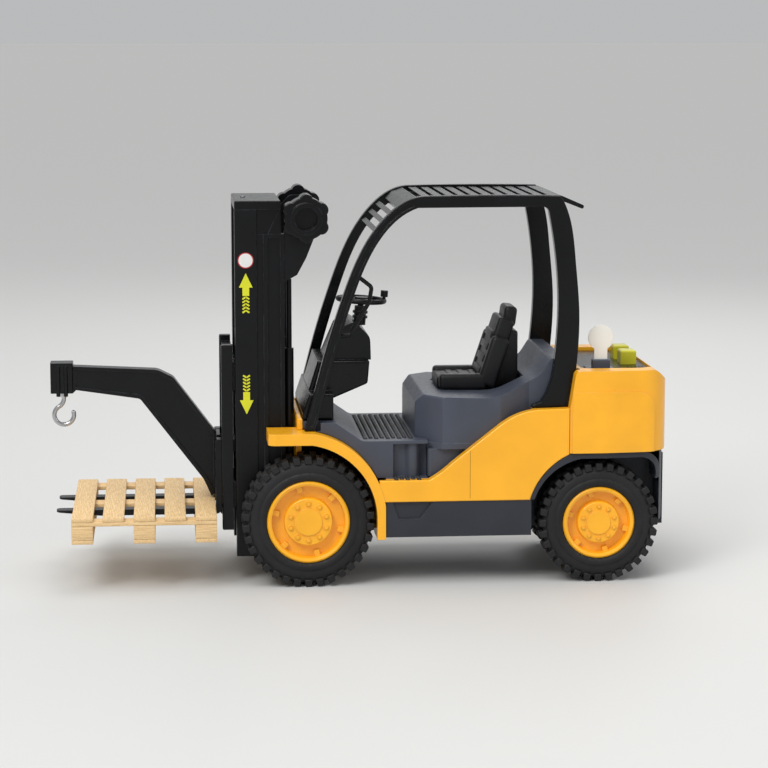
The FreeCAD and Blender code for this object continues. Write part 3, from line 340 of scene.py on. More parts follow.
@dataclass(frozen=True)
class Moulded:
    """Moulded plastic, rubber or metal with grain, a little dust and scuffed edges with a painted
    highlight.
    """

    name: str
    slot: str
    colour: Triple
    rough: float
    rough_change: float = 0.10
    tone_change: float = 0.10
    grain: float = 2600.0
    bump: float = 0.10
    edge: float = 0.45
    # Edge tint strength and colour: partly scuffing, partly a painted edge highlight.
    scuff_and_highlight: float = 0.35
    scuff_and_highlight_colour: Triple = (200, 200, 200)
    dust: float = 0.05
    metallic: float = 0.0
    coat: float = 0.0
    shine: float = 0.5

    def material(self) -> bpy.types.Material:
        """Build the material once and return it.

        Returns:
            The finished material.
        """
        title = self.name + "_finish"
        known = bpy.data.materials.get(title)
        if known:
            return known
        made = bpy.data.materials.new(title)
        made.use_nodes = True
        graph = Graph(made.node_tree)
        place = graph.add("ShaderNodeTexCoord").outputs["Object"]
        grain = graph.add("ShaderNodeGroup", node_tree=GROUPS.moulded_grain())
        grain.inputs["Scale"].default_value = self.grain
        edges = graph.add("ShaderNodeGroup", node_tree=GROUPS.edge_scuff_and_highlight())
        edges.inputs["Radius"].default_value = self.edge * MM
        dust = graph.add("ShaderNodeGroup", node_tree=GROUPS.dust())
        for node in (grain, edges, dust):
            graph.join(place, node.inputs["Vector"])
        base = linear(self.colour)
        deep = tuple(part * (1.0 - self.tone_change * 1.6) for part in base[:3]) + (1.0,)
        pale = tuple(min(1.0, part * (1.0 + self.tone_change)) for part in base[:3]) + (1.0,)
        shade = graph.blend(grain.outputs["Tone"], deep, pale)
        # Edges take the tint colour, partly as scuffing and partly as a painted highlight.
        edge_tint = graph.maths("MULTIPLY", edges.outputs["Mask"], self.scuff_and_highlight)
        scuffed_and_highlighted = graph.blend(edge_tint, shade, linear(self.scuff_and_highlight_colour))
        settled = graph.maths("MULTIPLY", dust.outputs["Mask"], self.dust)
        dusty = graph.blend(settled, scuffed_and_highlighted, linear(DUST_COLOUR))
        shader = graph.add("ShaderNodeBsdfPrincipled")
        graph.join(dusty, shader.inputs["Base Color"])
        smoothest = max(0.02, self.rough - self.rough_change)
        rough = graph.spread(grain.outputs["Gloss"], 0.0, 1.0, smoothest,
                             min(1.0, self.rough + self.rough_change))
        graph.join(rough, shader.inputs["Roughness"])
        shader.inputs["Metallic"].default_value = self.metallic
        shader.inputs["Coat Weight"].default_value = self.coat
        shader.inputs["Coat Roughness"].default_value = COAT_ROUGHNESS
        shader.inputs["Specular IOR Level"].default_value = self.shine
        bump = graph.add("ShaderNodeBump")
        bump.inputs["Strength"].default_value = self.bump
        bump.inputs["Distance"].default_value = BUMP_DEPTH
        graph.join(grain.outputs["Height"], bump.inputs["Height"])
        graph.join(edges.outputs["Normal"], bump.inputs["Normal"])
        graph.join(bump.outputs[0], shader.inputs["Normal"])
        leave = graph.add("ShaderNodeOutputMaterial")
        graph.join(shader.outputs[0], leave.inputs[0])
        return made


@dataclass(frozen=True)
class Wood:
    """Plain pallet wood, its grain along one axis."""

    name: str
    slot: str
    along: Axis
    pale: Triple = (236, 204, 152)
    dark: Triple = (212, 176, 124)
    band: Triple = (186, 148, 100)
    specks: Triple = (150, 112, 72)
    edge_tint: Triple = (120, 82, 48)
    along_scale: float = 60.0
    across_scale: float = 900.0
    speck_scale: float = 1500.0

    def material(self) -> bpy.types.Material:
        """Build the material once and return it.

        Returns:
            The finished material.
        """
        title = self.name + "_finish"
        known = bpy.data.materials.get(title)
        if known:
            return known
        made = bpy.data.materials.new(title)
        made.use_nodes = True
        graph = Graph(made.node_tree)
        place = graph.add("ShaderNodeTexCoord").outputs["Object"]
        stretch = graph.add("ShaderNodeMapping")
        scales = [self.across_scale] * 3
        scales["XYZ".index(self.along.value)] = self.along_scale
        stretch.inputs["Scale"].default_value = scales
        graph.join(place, stretch.inputs["Vector"])
        grain = graph.add("ShaderNodeGroup", node_tree=GROUPS.wood_grain())
        graph.join(stretch.outputs[0], grain.inputs["Vector"])
        edges = graph.add("ShaderNodeGroup", node_tree=GROUPS.edge_scuff_and_highlight())
        edges.inputs["Radius"].default_value = 0.3 * MM
        graph.join(place, edges.inputs["Vector"])
        fibres = graph.blend(grain.outputs["Streak"], linear(self.pale), linear(self.dark))
        bands = graph.maths("MULTIPLY", graph.spread(grain.outputs["Band"], 0.5, 1.0), 0.22)
        banded = graph.blend(bands, fibres, linear(self.band))
        fine = graph.add("ShaderNodeTexNoise")
        fine.inputs["Scale"].default_value = self.speck_scale
        fine.inputs["Detail"].default_value = 3.0
        graph.join(place, fine.inputs["Vector"])
        spots = graph.maths("MULTIPLY", graph.spread(fine.outputs[0], 0.56, 0.72), 0.4)
        speckled = graph.blend(spots, banded, linear(self.specks))
        corners = graph.maths("MULTIPLY", edges.outputs["Mask"], 0.30)
        edge_tint = graph.blend(corners, speckled, linear(self.edge_tint))
        shader = graph.add("ShaderNodeBsdfPrincipled")
        graph.join(edge_tint, shader.inputs["Base Color"])
        rough = graph.spread(grain.outputs["Streak"], 0.0, 1.0, 0.55, 0.75)
        graph.join(rough, shader.inputs["Roughness"])
        bump = graph.add("ShaderNodeBump")
        bump.inputs["Strength"].default_value = 0.5
        bump.inputs["Distance"].default_value = BUMP_DEPTH
        graph.join(grain.outputs["Height"], bump.inputs["Height"])
        graph.join(edges.outputs["Normal"], bump.inputs["Normal"])
        graph.join(bump.outputs[0], shader.inputs["Normal"])
        leave = graph.add("ShaderNodeOutputMaterial")
        graph.join(shader.outputs[0], leave.inputs[0])
        return made


# Edge tint colours, mostly paler than the base, are partly scuffing and partly a painted edge
# highlight.
YELLOW = Moulded("orange_yellow_plastic", "yellow_plastic", (252, 178, 22), 0.34, tone_change=0.04,
                 scuff_and_highlight_colour=(255, 215, 130), scuff_and_highlight=0.35, coat=0.25)
TYRE = Moulded("tyre_rubber", "tyre_rubber", (27, 27, 29), 0.66, tone_change=0.18, grain=1800.0,
               bump=0.3, edge=0.3, scuff_and_highlight_colour=(78, 76, 74), scuff_and_highlight=0.4, dust=0.12, shine=0.35)
SLATE = Moulded("slate_plastic", "slate_plastic", (68, 73, 85), 0.44, tone_change=0.07, bump=0.28,
                scuff_and_highlight_colour=(112, 118, 130), scuff_and_highlight=0.45, dust=0.05, shine=0.4)
SLATE_DARK = Moulded("dark_slate_plastic", "slate_plastic", (42, 45, 53), 0.46, tone_change=0.08,
                     bump=0.3, scuff_and_highlight_colour=(92, 97, 108), scuff_and_highlight=0.45, dust=0.05, shine=0.4)
GLOSS_BLACK = Moulded("gloss_black_plastic", "gloss_black_plastic", (10, 11, 13), 0.24,
                      rough_change=0.07, tone_change=0.2, bump=0.06, scuff_and_highlight_colour=(96, 98, 104),
                      scuff_and_highlight=0.4, coat=0.06, dust=0.02, shine=0.22)
SATIN_BLACK = Moulded("satin_black_plastic", "matt_black_plastic", (14, 15, 17), 0.36,
                      tone_change=0.16, bump=0.2, scuff_and_highlight_colour=(92, 94, 100), scuff_and_highlight=0.45, dust=0.02,
                      shine=0.22)
SEAT_BLACK = Moulded("seat_black_plastic", "matt_black_plastic", (17, 17, 19), 0.44,
                     tone_change=0.14, grain=1500.0, bump=0.45, scuff_and_highlight_colour=(86, 88, 92), scuff_and_highlight=0.35,
                     dust=0.03, shine=0.35)
WHITE_FILM = Moulded("white_film", "white_film", (236, 236, 230), 0.42, tone_change=0.02, scuff_and_highlight=0.1)
LIME = Moulded("lime_plastic", "lime_plastic", (206, 200, 44), 0.34, tone_change=0.05, scuff_and_highlight=0.2,
               scuff_and_highlight_colour=(240, 238, 150), coat=0.2)
LIME_INK = Moulded("lime_sticker", "lime_plastic", (214, 216, 32), 0.45, tone_change=0.05, scuff_and_highlight=0.25,
                   scuff_and_highlight_colour=(120, 120, 40), edge=0.05)
WHITE_INK = Moulded("white_sticker", "white_film", (226, 226, 224), 0.45, tone_change=0.03, scuff_and_highlight=0.1,
                    edge=0.05)
RED_INK = Moulded("red_sticker", "white_film", (186, 44, 52), 0.45, tone_change=0.05, scuff_and_highlight=0.1,
                  edge=0.05)
STUD_BLACK = Moulded("stud_rubber", "matt_black_plastic", (24, 25, 29), 0.5, tone_change=0.2,
                     grain=1800.0, bump=0.3, scuff_and_highlight_colour=(104, 106, 112), scuff_and_highlight=0.6, dust=0.1)
BOARD = Moulded("circuit_board_green", "green_board", (30, 92, 52), 0.4, scuff_and_highlight=0.2)
STEEL = Moulded("drawn_steel", "steel", (158, 158, 162), 0.34, tone_change=0.1, bump=0.15,
                metallic=1.0, scuff_and_highlight=0.2, scuff_and_highlight_colour=(220, 220, 222), dust=0.0)
HOOK_STEEL = Moulded("hook_steel", "bright_steel", (188, 188, 190), 0.26, tone_change=0.08, bump=0.1,
                     metallic=1.0, scuff_and_highlight=0.2, scuff_and_highlight_colour=(235, 235, 236), dust=0.0)
SEAM_DARK = Moulded("seam_shadow", "yellow_plastic", (150, 92, 10), 0.6, edge=0.02, scuff_and_highlight=0.0, dust=0.0)
WOOD_ACROSS = Wood("pallet_wood_across", "pallet_wood", Axis.Y)
WOOD_ALONG = Wood("pallet_wood_along", "pallet_wood", Axis.X)
Finish = Moulded | Wood


# ---- mesh building -----------------------------------------------------------------------------


class Sculpt:
    """A mesh under construction, in millimetres, X measured from the front axle."""

    def __init__(self) -> None:
        """Start with nothing."""
        self.bm = bmesh.new()

    def soften(self, verts: list[bmesh.types.BMVert], radius: float, segments: int) -> None:
        """Round every edge between some vertices.

        Args:
            verts: the vertices of the shape.
            radius: the rounding, in millimetres.
            segments: steps across the rounding.
        """
        own = set(verts)
        edges = [edge for edge in self.bm.edges if edge.verts[0] in own and edge.verts[1] in own
                 and edge.is_manifold and edge.calc_face_angle(0.0) > 0.35]
        if edges and radius > 0:
            bmesh.ops.bevel(self.bm, geom=edges, offset=radius, offset_type="OFFSET", segments=segments,
                            profile=0.5, affect="EDGES", material=-1, clamp_overlap=True)

    def block(self, low: Triple, high: Triple, radius: float = 0.0, segments: int = 2,
              turn: Matrix | None = None) -> None:
        """Add a box, rounded, then turned about its middle.

        Args:
            low: lowest corner.
            high: highest corner.
            radius: rounding of its edges.
            segments: steps across the rounding.
            turn: a rotation about the box's middle.
        """
        middle = (Vector(low) + Vector(high)) / 2
        size = Vector(high) - Vector(low)
        place = (Matrix.Translation(middle) @ (turn or Matrix.Identity(4))
                 @ Matrix.Diagonal((*size, 1.0)))
        made = bmesh.ops.create_cube(self.bm, size=1.0, matrix=place)
        self.soften(made["verts"], radius, segments)

    def round_bar(self, centre: Triple, radius: float, depth: float, axis: Axis, segments: int = 32,
                  end_radius: float | None = None) -> None:
        """Add a cylinder or a cone frustum.

        Args:
            centre: its middle.
            radius: radius at the low end.
            depth: its length.
            axis: its direction.
            segments: sides round it.
            end_radius: radius at the high end, when it differs.
        """
        place = Matrix.Translation(Vector(centre)) @ turn_to(axis)
        bmesh.ops.create_cone(self.bm, cap_ends=True, cap_tris=False, segments=segments,
                              radius1=radius, radius2=radius if end_radius is None else end_radius,
                              depth=depth, matrix=place)

    def lathe(self, profile: list[tuple[float, float]], centre: Triple, steps: int) -> None:
        """Spin a closed profile about a line along Y.

        Args:
            profile: pairs of radius and Y.
            centre: a point on the line; its Y is ignored.
            steps: divisions of the full turn.
        """
        verts = [self.bm.verts.new((centre[0] + radius, y, centre[2])) for radius, y in profile]
        edges = [self.bm.edges.new((verts[i], verts[(i + 1) % len(verts)])) for i in range(len(verts))]
        bmesh.ops.spin(self.bm, geom=verts + edges, cent=centre, axis=(0, 1, 0), dvec=(0, 0, 0),
                       angle=2 * math.pi, steps=steps, use_merge=True, use_duplicate=False)

    def finish(self, name: str, body: str, finish: Finish, replaces: tuple[str, ...] = (),
               smooth: bool = True) -> bpy.types.Object:
        """Turn the mesh into an object that rides on a body.

        Args:
            name: the object's name.
            body: the body it moves with.
            finish: its finish.
            replaces: the nodes it stands for.
            smooth: whether its faces shade smooth up to their sharp edges.

        Returns:
            The finished object.
        """
        bm = self.bm
        bmesh.ops.remove_doubles(bm, verts=bm.verts, dist=1e-4)
        bmesh.ops.recalc_face_normals(bm, faces=bm.faces)
        bmesh.ops.translate(bm, verts=bm.verts, vec=(-ORIGIN_X, 0, 0))
        bmesh.ops.scale(bm, verts=bm.verts, vec=(MM, MM, MM))
        for face in bm.faces:
            face.smooth = smooth
        for edge in bm.edges:
            edge.smooth = edge.calc_face_angle(0.0) < SHARP_EDGE
        mesh = bpy.data.meshes.new(name)
        bm.to_mesh(mesh)
        bm.free()
        made = bpy.data.objects.new(name, mesh)
        bpy.context.scene.collection.objects.link(made)
        mesh.materials.append(finish.material())
        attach(made, body)
        if replaces:
            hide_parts(*replaces)
        LOG.info("%s: %d faces", name, len(mesh.polygons))
        return made


# ---- sub-assemblies ----------------------------------------------------------------------------


@dataclass(frozen=True)
class Wheel:
    """Place and sizes of one pair of wheels."""

    label: str
    x: float
    radius: float
    rim: float
    width: float
    lugs: int


WHEELS = (Wheel("front", 0.0, 33.2, 20.8, 21.0, 34), Wheel("rear", 147.0, 30.4, 18.3, 20.0, 32))
TYRE_FACE = 51.5


@dataclass
class Tyre:
    """Block-tread tyre: a carcass with two offset rows of lugs that run down the shoulders."""

    node: str
    body: str
    x: float
    radius: float
    rim: float
    width: float
    side: int
    lugs: int
    face: float = TYRE_FACE
    lug_height: float = 2.1
    lug_share: float = 0.62
    row_gap: float = 1.0
    row_edge: float = 0.9

    def carcass(self, sculpt: Sculpt) -> None:
        """Spin the tyre's body.

        Args:
            sculpt: the mesh to add to.
        """
        outer, inner = -self.face, -self.face + self.width
        tread = self.radius - self.lug_height
        rim = self.rim
        profile = [(rim, outer + 1.8), (rim + 0.7, outer + 0.8), (rim + 2.2, outer + 0.2),
                   (rim + 3.6, outer + 0.35), (rim + 4.2, outer + 0.9), (tread - 4.4, outer + 0.7),
                   (tread - 2.0, outer + 1.6), (tread, outer + 3.4), (tread, inner - 3.4),
                   (tread - 2.0, inner - 1.6), (tread - 4.4, inner - 0.7), (rim + 2.2, inner - 0.2),
                   (rim, inner - 1.8)]
        sculpt.lathe([(r, y * self.side) for r, y in profile], (self.x, 0, self.radius), 96)

    def tread(self, sculpt: Sculpt) -> None:
        """Set the two rows of lugs round the carcass.

        Args:
            sculpt: the mesh to add to.
        """
        outer, inner = -self.face, -self.face + self.width
        middle = (outer + inner) / 2
        pitch = 2 * math.pi / self.lugs
        long_way = pitch * self.radius * self.lug_share
        rows = ((outer + self.row_edge, middle - self.row_gap / 2),
                (middle + self.row_gap / 2, inner - self.row_edge))
        centre = Matrix.Translation((self.x, 0, self.radius))
        for row, (start, end) in enumerate(rows):
            for index in range(self.lugs):
                place = centre @ Matrix.Rotation((index + 0.5 * row) * pitch, 4, "Y")
                self.lug(sculpt, place, start * self.side, end * self.side, long_way)

    def lug(self, sculpt: Sculpt, place: Matrix, start: float, end: float, long_way: float) -> None:
        """Add one lug, narrower at its top, its outer end running down the shoulder.

        Args:
            sculpt: the mesh to add to.
            place: the wheel's place with the lug's turn.
            start: Y of its outer end.
            end: Y of its inner end.
            long_way: its length round the tyre.
        """
        low, top = self.radius - self.lug_height - 1.6, self.radius - 0.05
        middle = Vector((0, (start + end) / 2, (low + top) / 2))
        size = (long_way, abs(end - start), top - low, 1.0)
        made = bmesh.ops.create_cube(sculpt.bm, size=1.0,
                                     matrix=place @ Matrix.Translation(middle) @ Matrix.Diagonal(size))
        crown = [v for v in made["verts"] if (place.inverted() @ v.co).z > middle.z]
        bmesh.ops.scale(sculpt.bm, verts=crown, vec=(0.86, 0.93, 1.0),
                        space=(place @ Matrix.Translation(middle)).inverted())
        sculpt.soften(made["verts"], 0.35, 1)

    def build(self) -> None:
        """Build the tyre in place of its node."""
        sculpt = Sculpt()
        self.carcass(sculpt)
        self.tread(sculpt)
        sculpt.finish(self.node + "_tread", self.body, TYRE, (self.node,))


@dataclass
class WheelNuts:
    """Raised rings round the nuts of the four hubs."""

    tyre_face: float = TYRE_FACE
    hub_set: float = 1.7
    count: int = 10
    ring_radius: float = 9.35
    outer: float = 1.5
    inner: float = 0.95
    height: float = 0.45
    sunk: float = 0.1
    broken_edge: float = 0.15

    def ring(self, sculpt: Sculpt, centre: Triple, size: float, side: int) -> None:
        """Add one ring, its edges broken.

        Args:
            sculpt: the mesh to add to.
            centre: the nut's place; its Y is ignored.
            size: the hub's size against the front one.
            side: -1 on the left, 1 on the right.
        """
        hub = self.tyre_face - self.hub_set
        low, high = hub - self.sunk, hub + self.height
        outer, inner, cut = self.outer * size, self.inner * size, self.broken_edge
        profile = [(inner, low), (outer, low), (outer, high - cut), (outer - cut, high),
                   (inner + cut, high), (inner, high - cut)]
        sculpt.lathe([(radius, side * y) for radius, y in profile], centre, 20)

    def build(self) -> None:
        """Build the rings of every hub."""
        for wheel in WHEELS:
            size = wheel.rim / WHEELS[0].rim
            reach = self.ring_radius * size
            for word, side in (("left", -1), ("right", 1)):
                sculpt = Sculpt()
                for index in range(self.count):
                    angle = 2 * math.pi * (index + 0.5) / self.count
                    centre = (wheel.x + reach * math.cos(angle), 0,
                              wheel.radius + reach * math.sin(angle))
                    self.ring(sculpt, centre, size, side)
                sculpt.finish(wheel.label + "_nut_rings_" + word, wheel.label + "_wheels", YELLOW)


@dataclass
class Seat:
    """Moulded seat: cushion and back with raised bolsters, on a plinth."""

    x: float = 68.5
    half: float = 13.0
    bolster: float = 19.0
    base: float = 94.4
    lean: float = 18.5
    panel_lap: float = 0.4
    bolster_lap: float = 0.6
    rib_inset: float = 1.6
    cushion_end: float = 94.5
    cushion_top: float = 100.6
    cushion_bolster: tuple[float, float] = (93.6, 102.6)
    cushion_ribs: tuple[float, ...] = (75.0, 81.0, 87.0)
    cushion_rib_wide: float = 3.4
    cushion_rib_z: tuple[float, float] = (100.0, 101.0)
    back_x: tuple[float, float] = (95.0, 103.6)
    back_z: tuple[float, float] = (95.6, 131.0)
    back_bolster_x: tuple[float, float] = (92.6, 102.2)
    back_bolster_top: float = 121.6
    back_ribs: int = 4
    back_rib_x: float = 94.6
    back_rib_z: float = 103.0
    back_rib_gap: float = 6.2
    head_box: tuple[Triple, Triple] = ((103.4, -10.0, 125.6), (110.2, 10.0, 136.2))
    head_lean: float = 8
    plinth_x: tuple[float, float] = (97.0, 110.6)
    plinth_half: float = 12.0
    plinth_top: float = 124.0

    def cushion(self, sculpt: Sculpt) -> None:
        """Add the cushion and its bolsters.

        Args:
            sculpt: the mesh to add to.
        """
        wide, inner = self.half + self.panel_lap, self.half - self.rib_inset
        end, top = self.cushion_bolster
        sculpt.block((self.x, -wide, self.base), (self.cushion_end, wide, self.cushion_top), 1.7, 5)
        for side in (-1, 1):
            low, high = sorted((side * (self.half - self.bolster_lap), side * self.bolster))
            sculpt.block((self.x + 0.8, low, self.base), (end, high, top), 2.1, 5)
        bottom, crest = self.cushion_rib_z
        for x in self.cushion_ribs:
            sculpt.block((x, -inner, bottom), (x + self.cushion_rib_wide, inner, crest), 0.45, 3)

    def back(self, sculpt: Sculpt) -> None:
        """Add the back rest, its bolsters, ribs and head rest.

        Args:
            sculpt: the mesh to add to.
        """
        turn = Matrix.Rotation(math.radians(self.lean), 4, "Y")
        wide, inner = self.half + self.panel_lap, self.half - self.rib_inset
        (front, rear), (bottom, top) = self.back_x, self.back_z
        sculpt.block((front, -wide, bottom), (rear, wide, top), 1.9, 5, turn)
        front, rear = self.back_bolster_x
        for side in (-1, 1):
            low, high = sorted((side * (self.half - self.bolster_lap), side * self.bolster))
            sculpt.block((front, low, bottom), (rear, high, self.back_bolster_top), 2.2, 5, turn)
        middle = (bottom + top) / 2
        for step in range(self.back_ribs):
            z = self.back_rib_z + self.back_rib_gap * step
            x = self.back_rib_x + (z - middle) * math.tan(math.radians(self.lean))
            sculpt.block((x - 0.9, -inner, z - 1.8), (x + 2.2, inner, z + 1.8), 0.5, 3, turn)
        nod = Matrix.Rotation(math.radians(self.head_lean), 4, "Y")
        sculpt.block(*self.head_box, 2.2, 5, nod)
        front, rear = self.plinth_x
        sculpt.block((front, -self.plinth_half, self.base), (rear, self.plinth_half, self.plinth_top),
                     1.4, 3)

    def build(self) -> None:
        """Build both halves in place of their nodes."""
        cushion = Sculpt()
        self.cushion(cushion)
        cushion.finish("seat_cushion_moulding", "truck", SEAT_BLACK, ("seat_cushion",))
        back = Sculpt()
        self.back(back)
        back.finish("seat_back_moulding", "truck", SEAT_BLACK, ("seat_back",))


@dataclass
class Pallet:
    """Wooden pallet: boards with broken edges, nailed at each block."""

    front: float = -117.8
    length: float = 72.0
    width: float = 108.0
    bottom: float = 24.7
    top: float = 37.7
    board: float = 2.0
    slat: float = 10.6
    block_wide: float = 11.0
    slats: int = 5
    rows: int = 3
    edge: float = 0.35
    bearer_edge: float = 0.3
    nail_radius: float = 0.5
    nail_height: float = 0.12
    nail_sunk: float = 0.04
    nail_places: tuple[tuple[float, float], ...] = ((3.0, 3.4), (7.6, 7.6))

    def spread(self, count: int, width: float, total: float) -> list[float]:
        """Starts of equal pieces spread over a length.

        Args:
            count: how many pieces.
            width: each one's width.
            total: the length they cover.

        Returns:
            The start of each piece.
        """
        return [i * (total - width) / (count - 1) for i in range(count)]

    def deck(self) -> None:
        """Build the deck boards and their nails."""
        sculpt = Sculpt()
        half = self.width / 2
        for start in self.spread(self.slats, self.slat, self.length):
            x = self.front + start
            sculpt.block((x, -half, self.top - self.board), (x + self.slat, half, self.top),
                         self.edge, 2)
        sculpt.finish("pallet_deck_boards", "pallet", WOOD_ACROSS, ("pallet_slats",))
        nails = Sculpt()
        z = self.top - self.nail_sunk
        for start in self.spread(self.slats, self.slat, self.length):
            for row in self.spread(self.rows, self.block_wide, self.width):
                for along, across in self.nail_places:
                    place = (self.front + start + along, -half + row + across, z)
                    nails.round_bar(place, self.nail_radius, self.nail_height, Axis.Z, 12)
        nails.finish("pallet_nails", "pallet", STEEL)

    def underside(self) -> None:
        """Build the bearers, the blocks and the bottom boards."""
        half = self.width / 2
        bearers, blocks, skids = Sculpt(), Sculpt(), Sculpt()
        for row in self.spread(self.rows, self.block_wide, self.width):
            near, far = -half + row, -half + row + self.block_wide
            bearers.block((self.front, near, self.top - 2 * self.board),
                          (self.front + self.length, far, self.top - self.board),
                          self.bearer_edge, 2)
            for start in self.spread(self.rows, self.slat, self.length):
                x = self.front + start
                blocks.block((x, near, self.bottom + self.board),
                             (x + self.slat, far, self.top - 2 * self.board), self.edge, 2)
        for start in self.spread(self.rows, self.slat, self.length):
            x = self.front + start
            skids.block((x, -half, self.bottom), (x + self.slat, half, self.bottom + self.board),
                        self.edge, 2)
        bearers.finish("pallet_bearer_boards", "pallet", WOOD_ALONG, ("pallet_bearers",))
        blocks.finish("pallet_corner_blocks", "pallet", WOOD_ALONG, ("pallet_blocks",))
        skids.finish("pallet_bottom_boards", "pallet", WOOD_ACROSS, ("pallet_skids",))

    def build(self) -> None:
        """Build the whole pallet."""
        self.deck()
        self.underside()


@dataclass
class MastDecals:
    """Stickers on the mast: a plain disc, arrows and chevrons."""

    x: float = -29.8
    face: float = 29.5
    thick: float = 0.08
    disc_z: float = 163.0
    disc_r: float = 4.0
    rim_w: float = 0.6
    arrow_w: float = 6.9
    head_h: float = 7.2
    stem_w: float = 3.4
    stem_h: float = 4.2
    up_tip: float = 156.6
    down_tip: float = 85.1
    chevron_gap: float = 1.7
    chevrons: int = 5
    chevron_start: float = 1.1
    chevron_lean: float = 32
    chevron_half: tuple[float, float] = (1.02, 0.42)

    def arrow(self, sculpt: Sculpt, y: float, tip: float, way: int) -> None:
        """Add an arrow head, its stem and the chevrons that follow it.

        Args:
            sculpt: the mesh to add to.
            y: the sticker's middle plane.
            tip: height of the arrow's tip.
            way: 1 for an arrow that points up, -1 for down.
        """
        radius = self.arrow_w / math.sqrt(3)
        stretch = self.head_h / (1.5 * radius)
        place = (Matrix.Translation((self.x, y, tip - way * radius * stretch))
                 @ Matrix.Diagonal((1.0, 1.0, way * stretch, 1.0))
                 @ Matrix.Rotation(math.pi / 2, 4, "X"))
        bmesh.ops.create_cone(sculpt.bm, cap_ends=True, segments=3, radius1=radius, radius2=radius,
                              depth=self.thick, matrix=place)
        ends = sorted((tip - way * (self.head_h - 0.2), tip - way * (self.head_h + self.stem_h)))
        sculpt.block((self.x - self.stem_w / 2, y - self.thick * 0.45, ends[0]),
                     (self.x + self.stem_w / 2, y + self.thick * 0.45, ends[1]))
        first = self.head_h + self.stem_h + self.chevron_start
        long_half, high_half = self.chevron_half
        for index in range(self.chevrons):
            z = tip - way * (first + self.chevron_gap * index)
            for side in (-1, 1):
                turn = Matrix.Rotation(side * way * math.radians(self.chevron_lean), 4, "Y")
                x = self.x + side * self.stem_w / 4
                sculpt.block((x - long_half, y - self.thick / 2, z - high_half),
                             (x + long_half, y + self.thick / 2, z + high_half), 0.0, 1, turn)

    def build(self) -> None:
        """Build the stickers of both sides."""
        for label, side in (("left", -1), ("right", 1)):
            sculpt = Sculpt()
            y = side * self.face
            self.arrow(sculpt, y, self.up_tip, 1)
            self.arrow(sculpt, y, self.down_tip, -1)
            sculpt.finish("mast_arrows_" + label, "truck", LIME_INK, smooth=False)
            disc = Sculpt()
            disc.round_bar((self.x, y, self.disc_z), self.disc_r - 0.5, self.thick * 1.3, Axis.Y, 48)
            disc.finish("mast_disc_" + label, "truck", WHITE_INK, smooth=False)
            ring = Sculpt()
            low, high = y - self.thick / 2, y + self.thick / 2
            inner, outer = self.disc_r - self.rim_w, self.disc_r
            ring.lathe([(inner, low), (outer, low), (outer, high), (inner, high)],
                       (self.x, 0, self.disc_z), 48)
            ring.finish("mast_disc_rim_" + label, "truck", RED_INK, smooth=False)


@dataclass
class TreadStuds:
    """Raised studs on the cab floor and on the two steps."""

    radius: float = 1.25
    height: float = 0.85
    pitch: float = 3.3
    row_share: float = 0.87
    taper: float = 0.62
    sunk: float = 0.02
    floor_z: float = 73.0
    floor_low: tuple[float, float] = (29.5, -37.5)
    floor_high: tuple[float, float] = (53.0, 37.5)
    step_z: float = 54.0
    step_x: tuple[float, float] = (44.2, 57.2)
    step_y: tuple[float, float] = (43.6, 50.2)

    def field(self, sculpt: Sculpt, low: tuple[float, float], high: tuple[float, float],
              z: float) -> None:
        """Cover a rectangle with studs in staggered rows.

        Args:
            sculpt: the mesh to add to.
            low: lowest X and Y.
            high: highest X and Y.
            z: the surface's height.
        """
        rows = int((high[0] - low[0]) / (self.pitch * self.row_share)) + 1
        middle = z + self.height / 2 - self.sunk
        for row in range(rows):
            x = low[0] + row * self.pitch * self.row_share
            y = low[1] + (self.pitch / 2 if row % 2 else 0.0)
            while y <= high[1]:
                sculpt.round_bar((x, y, middle), self.radius, self.height, Axis.Z, 10,
                                 self.radius * self.taper)
                y += self.pitch

    def build(self) -> None:
        """Build the studs of the floor and of the steps."""
        floor = Sculpt()
        self.field(floor, self.floor_low, self.floor_high, self.floor_z)
        floor.finish("floor_studs", "truck", STUD_BLACK)
        steps = Sculpt()
        front, rear = self.step_x
        for side in (-1, 1):
            low, high = sorted(side * y for y in self.step_y)
            self.field(steps, (front, low), (rear, high), self.step_z)
        steps.finish("step_studs", "truck", STUD_BLACK)


@dataclass
class CadDress:
    """Finishes of the nodes that are carried over as they are."""

    finishes: dict[str, Finish] = field(default_factory=lambda: {
        "yellow_plastic": YELLOW, "slate_plastic": SLATE, "gloss_black_plastic": GLOSS_BLACK,
        "matt_black_plastic": SATIN_BLACK, "tyre_rubber": TYRE, "white_film": WHITE_FILM,
        "lime_plastic": LIME, "green_board": BOARD, "steel": STEEL, "bright_steel": HOOK_STEEL,
        "pallet_wood": WOOD_ACROSS})
    darker: dict[str, Finish] = field(default_factory=lambda: {
        "chassis": SLATE_DARK, "arch_liner_left": SLATE_DARK, "arch_liner_right": SLATE_DARK})

    def build(self) -> None:
        """Give every node the finish of its material slot."""
        for part in frame["record"]["subparts"]:
            node = frame["nodes"][part["node"]]
            node.data.materials.clear()
            finish = self.darker.get(part["node"], self.finishes[part["material_slot"]])
            node.data.materials.append(finish.material())
        LOG.info("dressed %d nodes", len(frame["nodes"]))


@dataclass
class BodySeams:
    """Fine joint lines in the yellow side panels."""

    x: float = 81.0
    face: float = 52.3
    low: float = 44.4
    high: float = 68.4
    width: float = 0.22

    def build(self) -> None:
        """Build the joint line of both sides."""
        for label, side in (("left", -1), ("right", 1)):
            sculpt = Sculpt()
            y = side * self.face
            sculpt.block((self.x, y - 0.04, self.low), (self.x + self.width, y + 0.04, self.high))
            sculpt.finish("side_seam_" + label, "truck", SEAM_DARK, smooth=False)


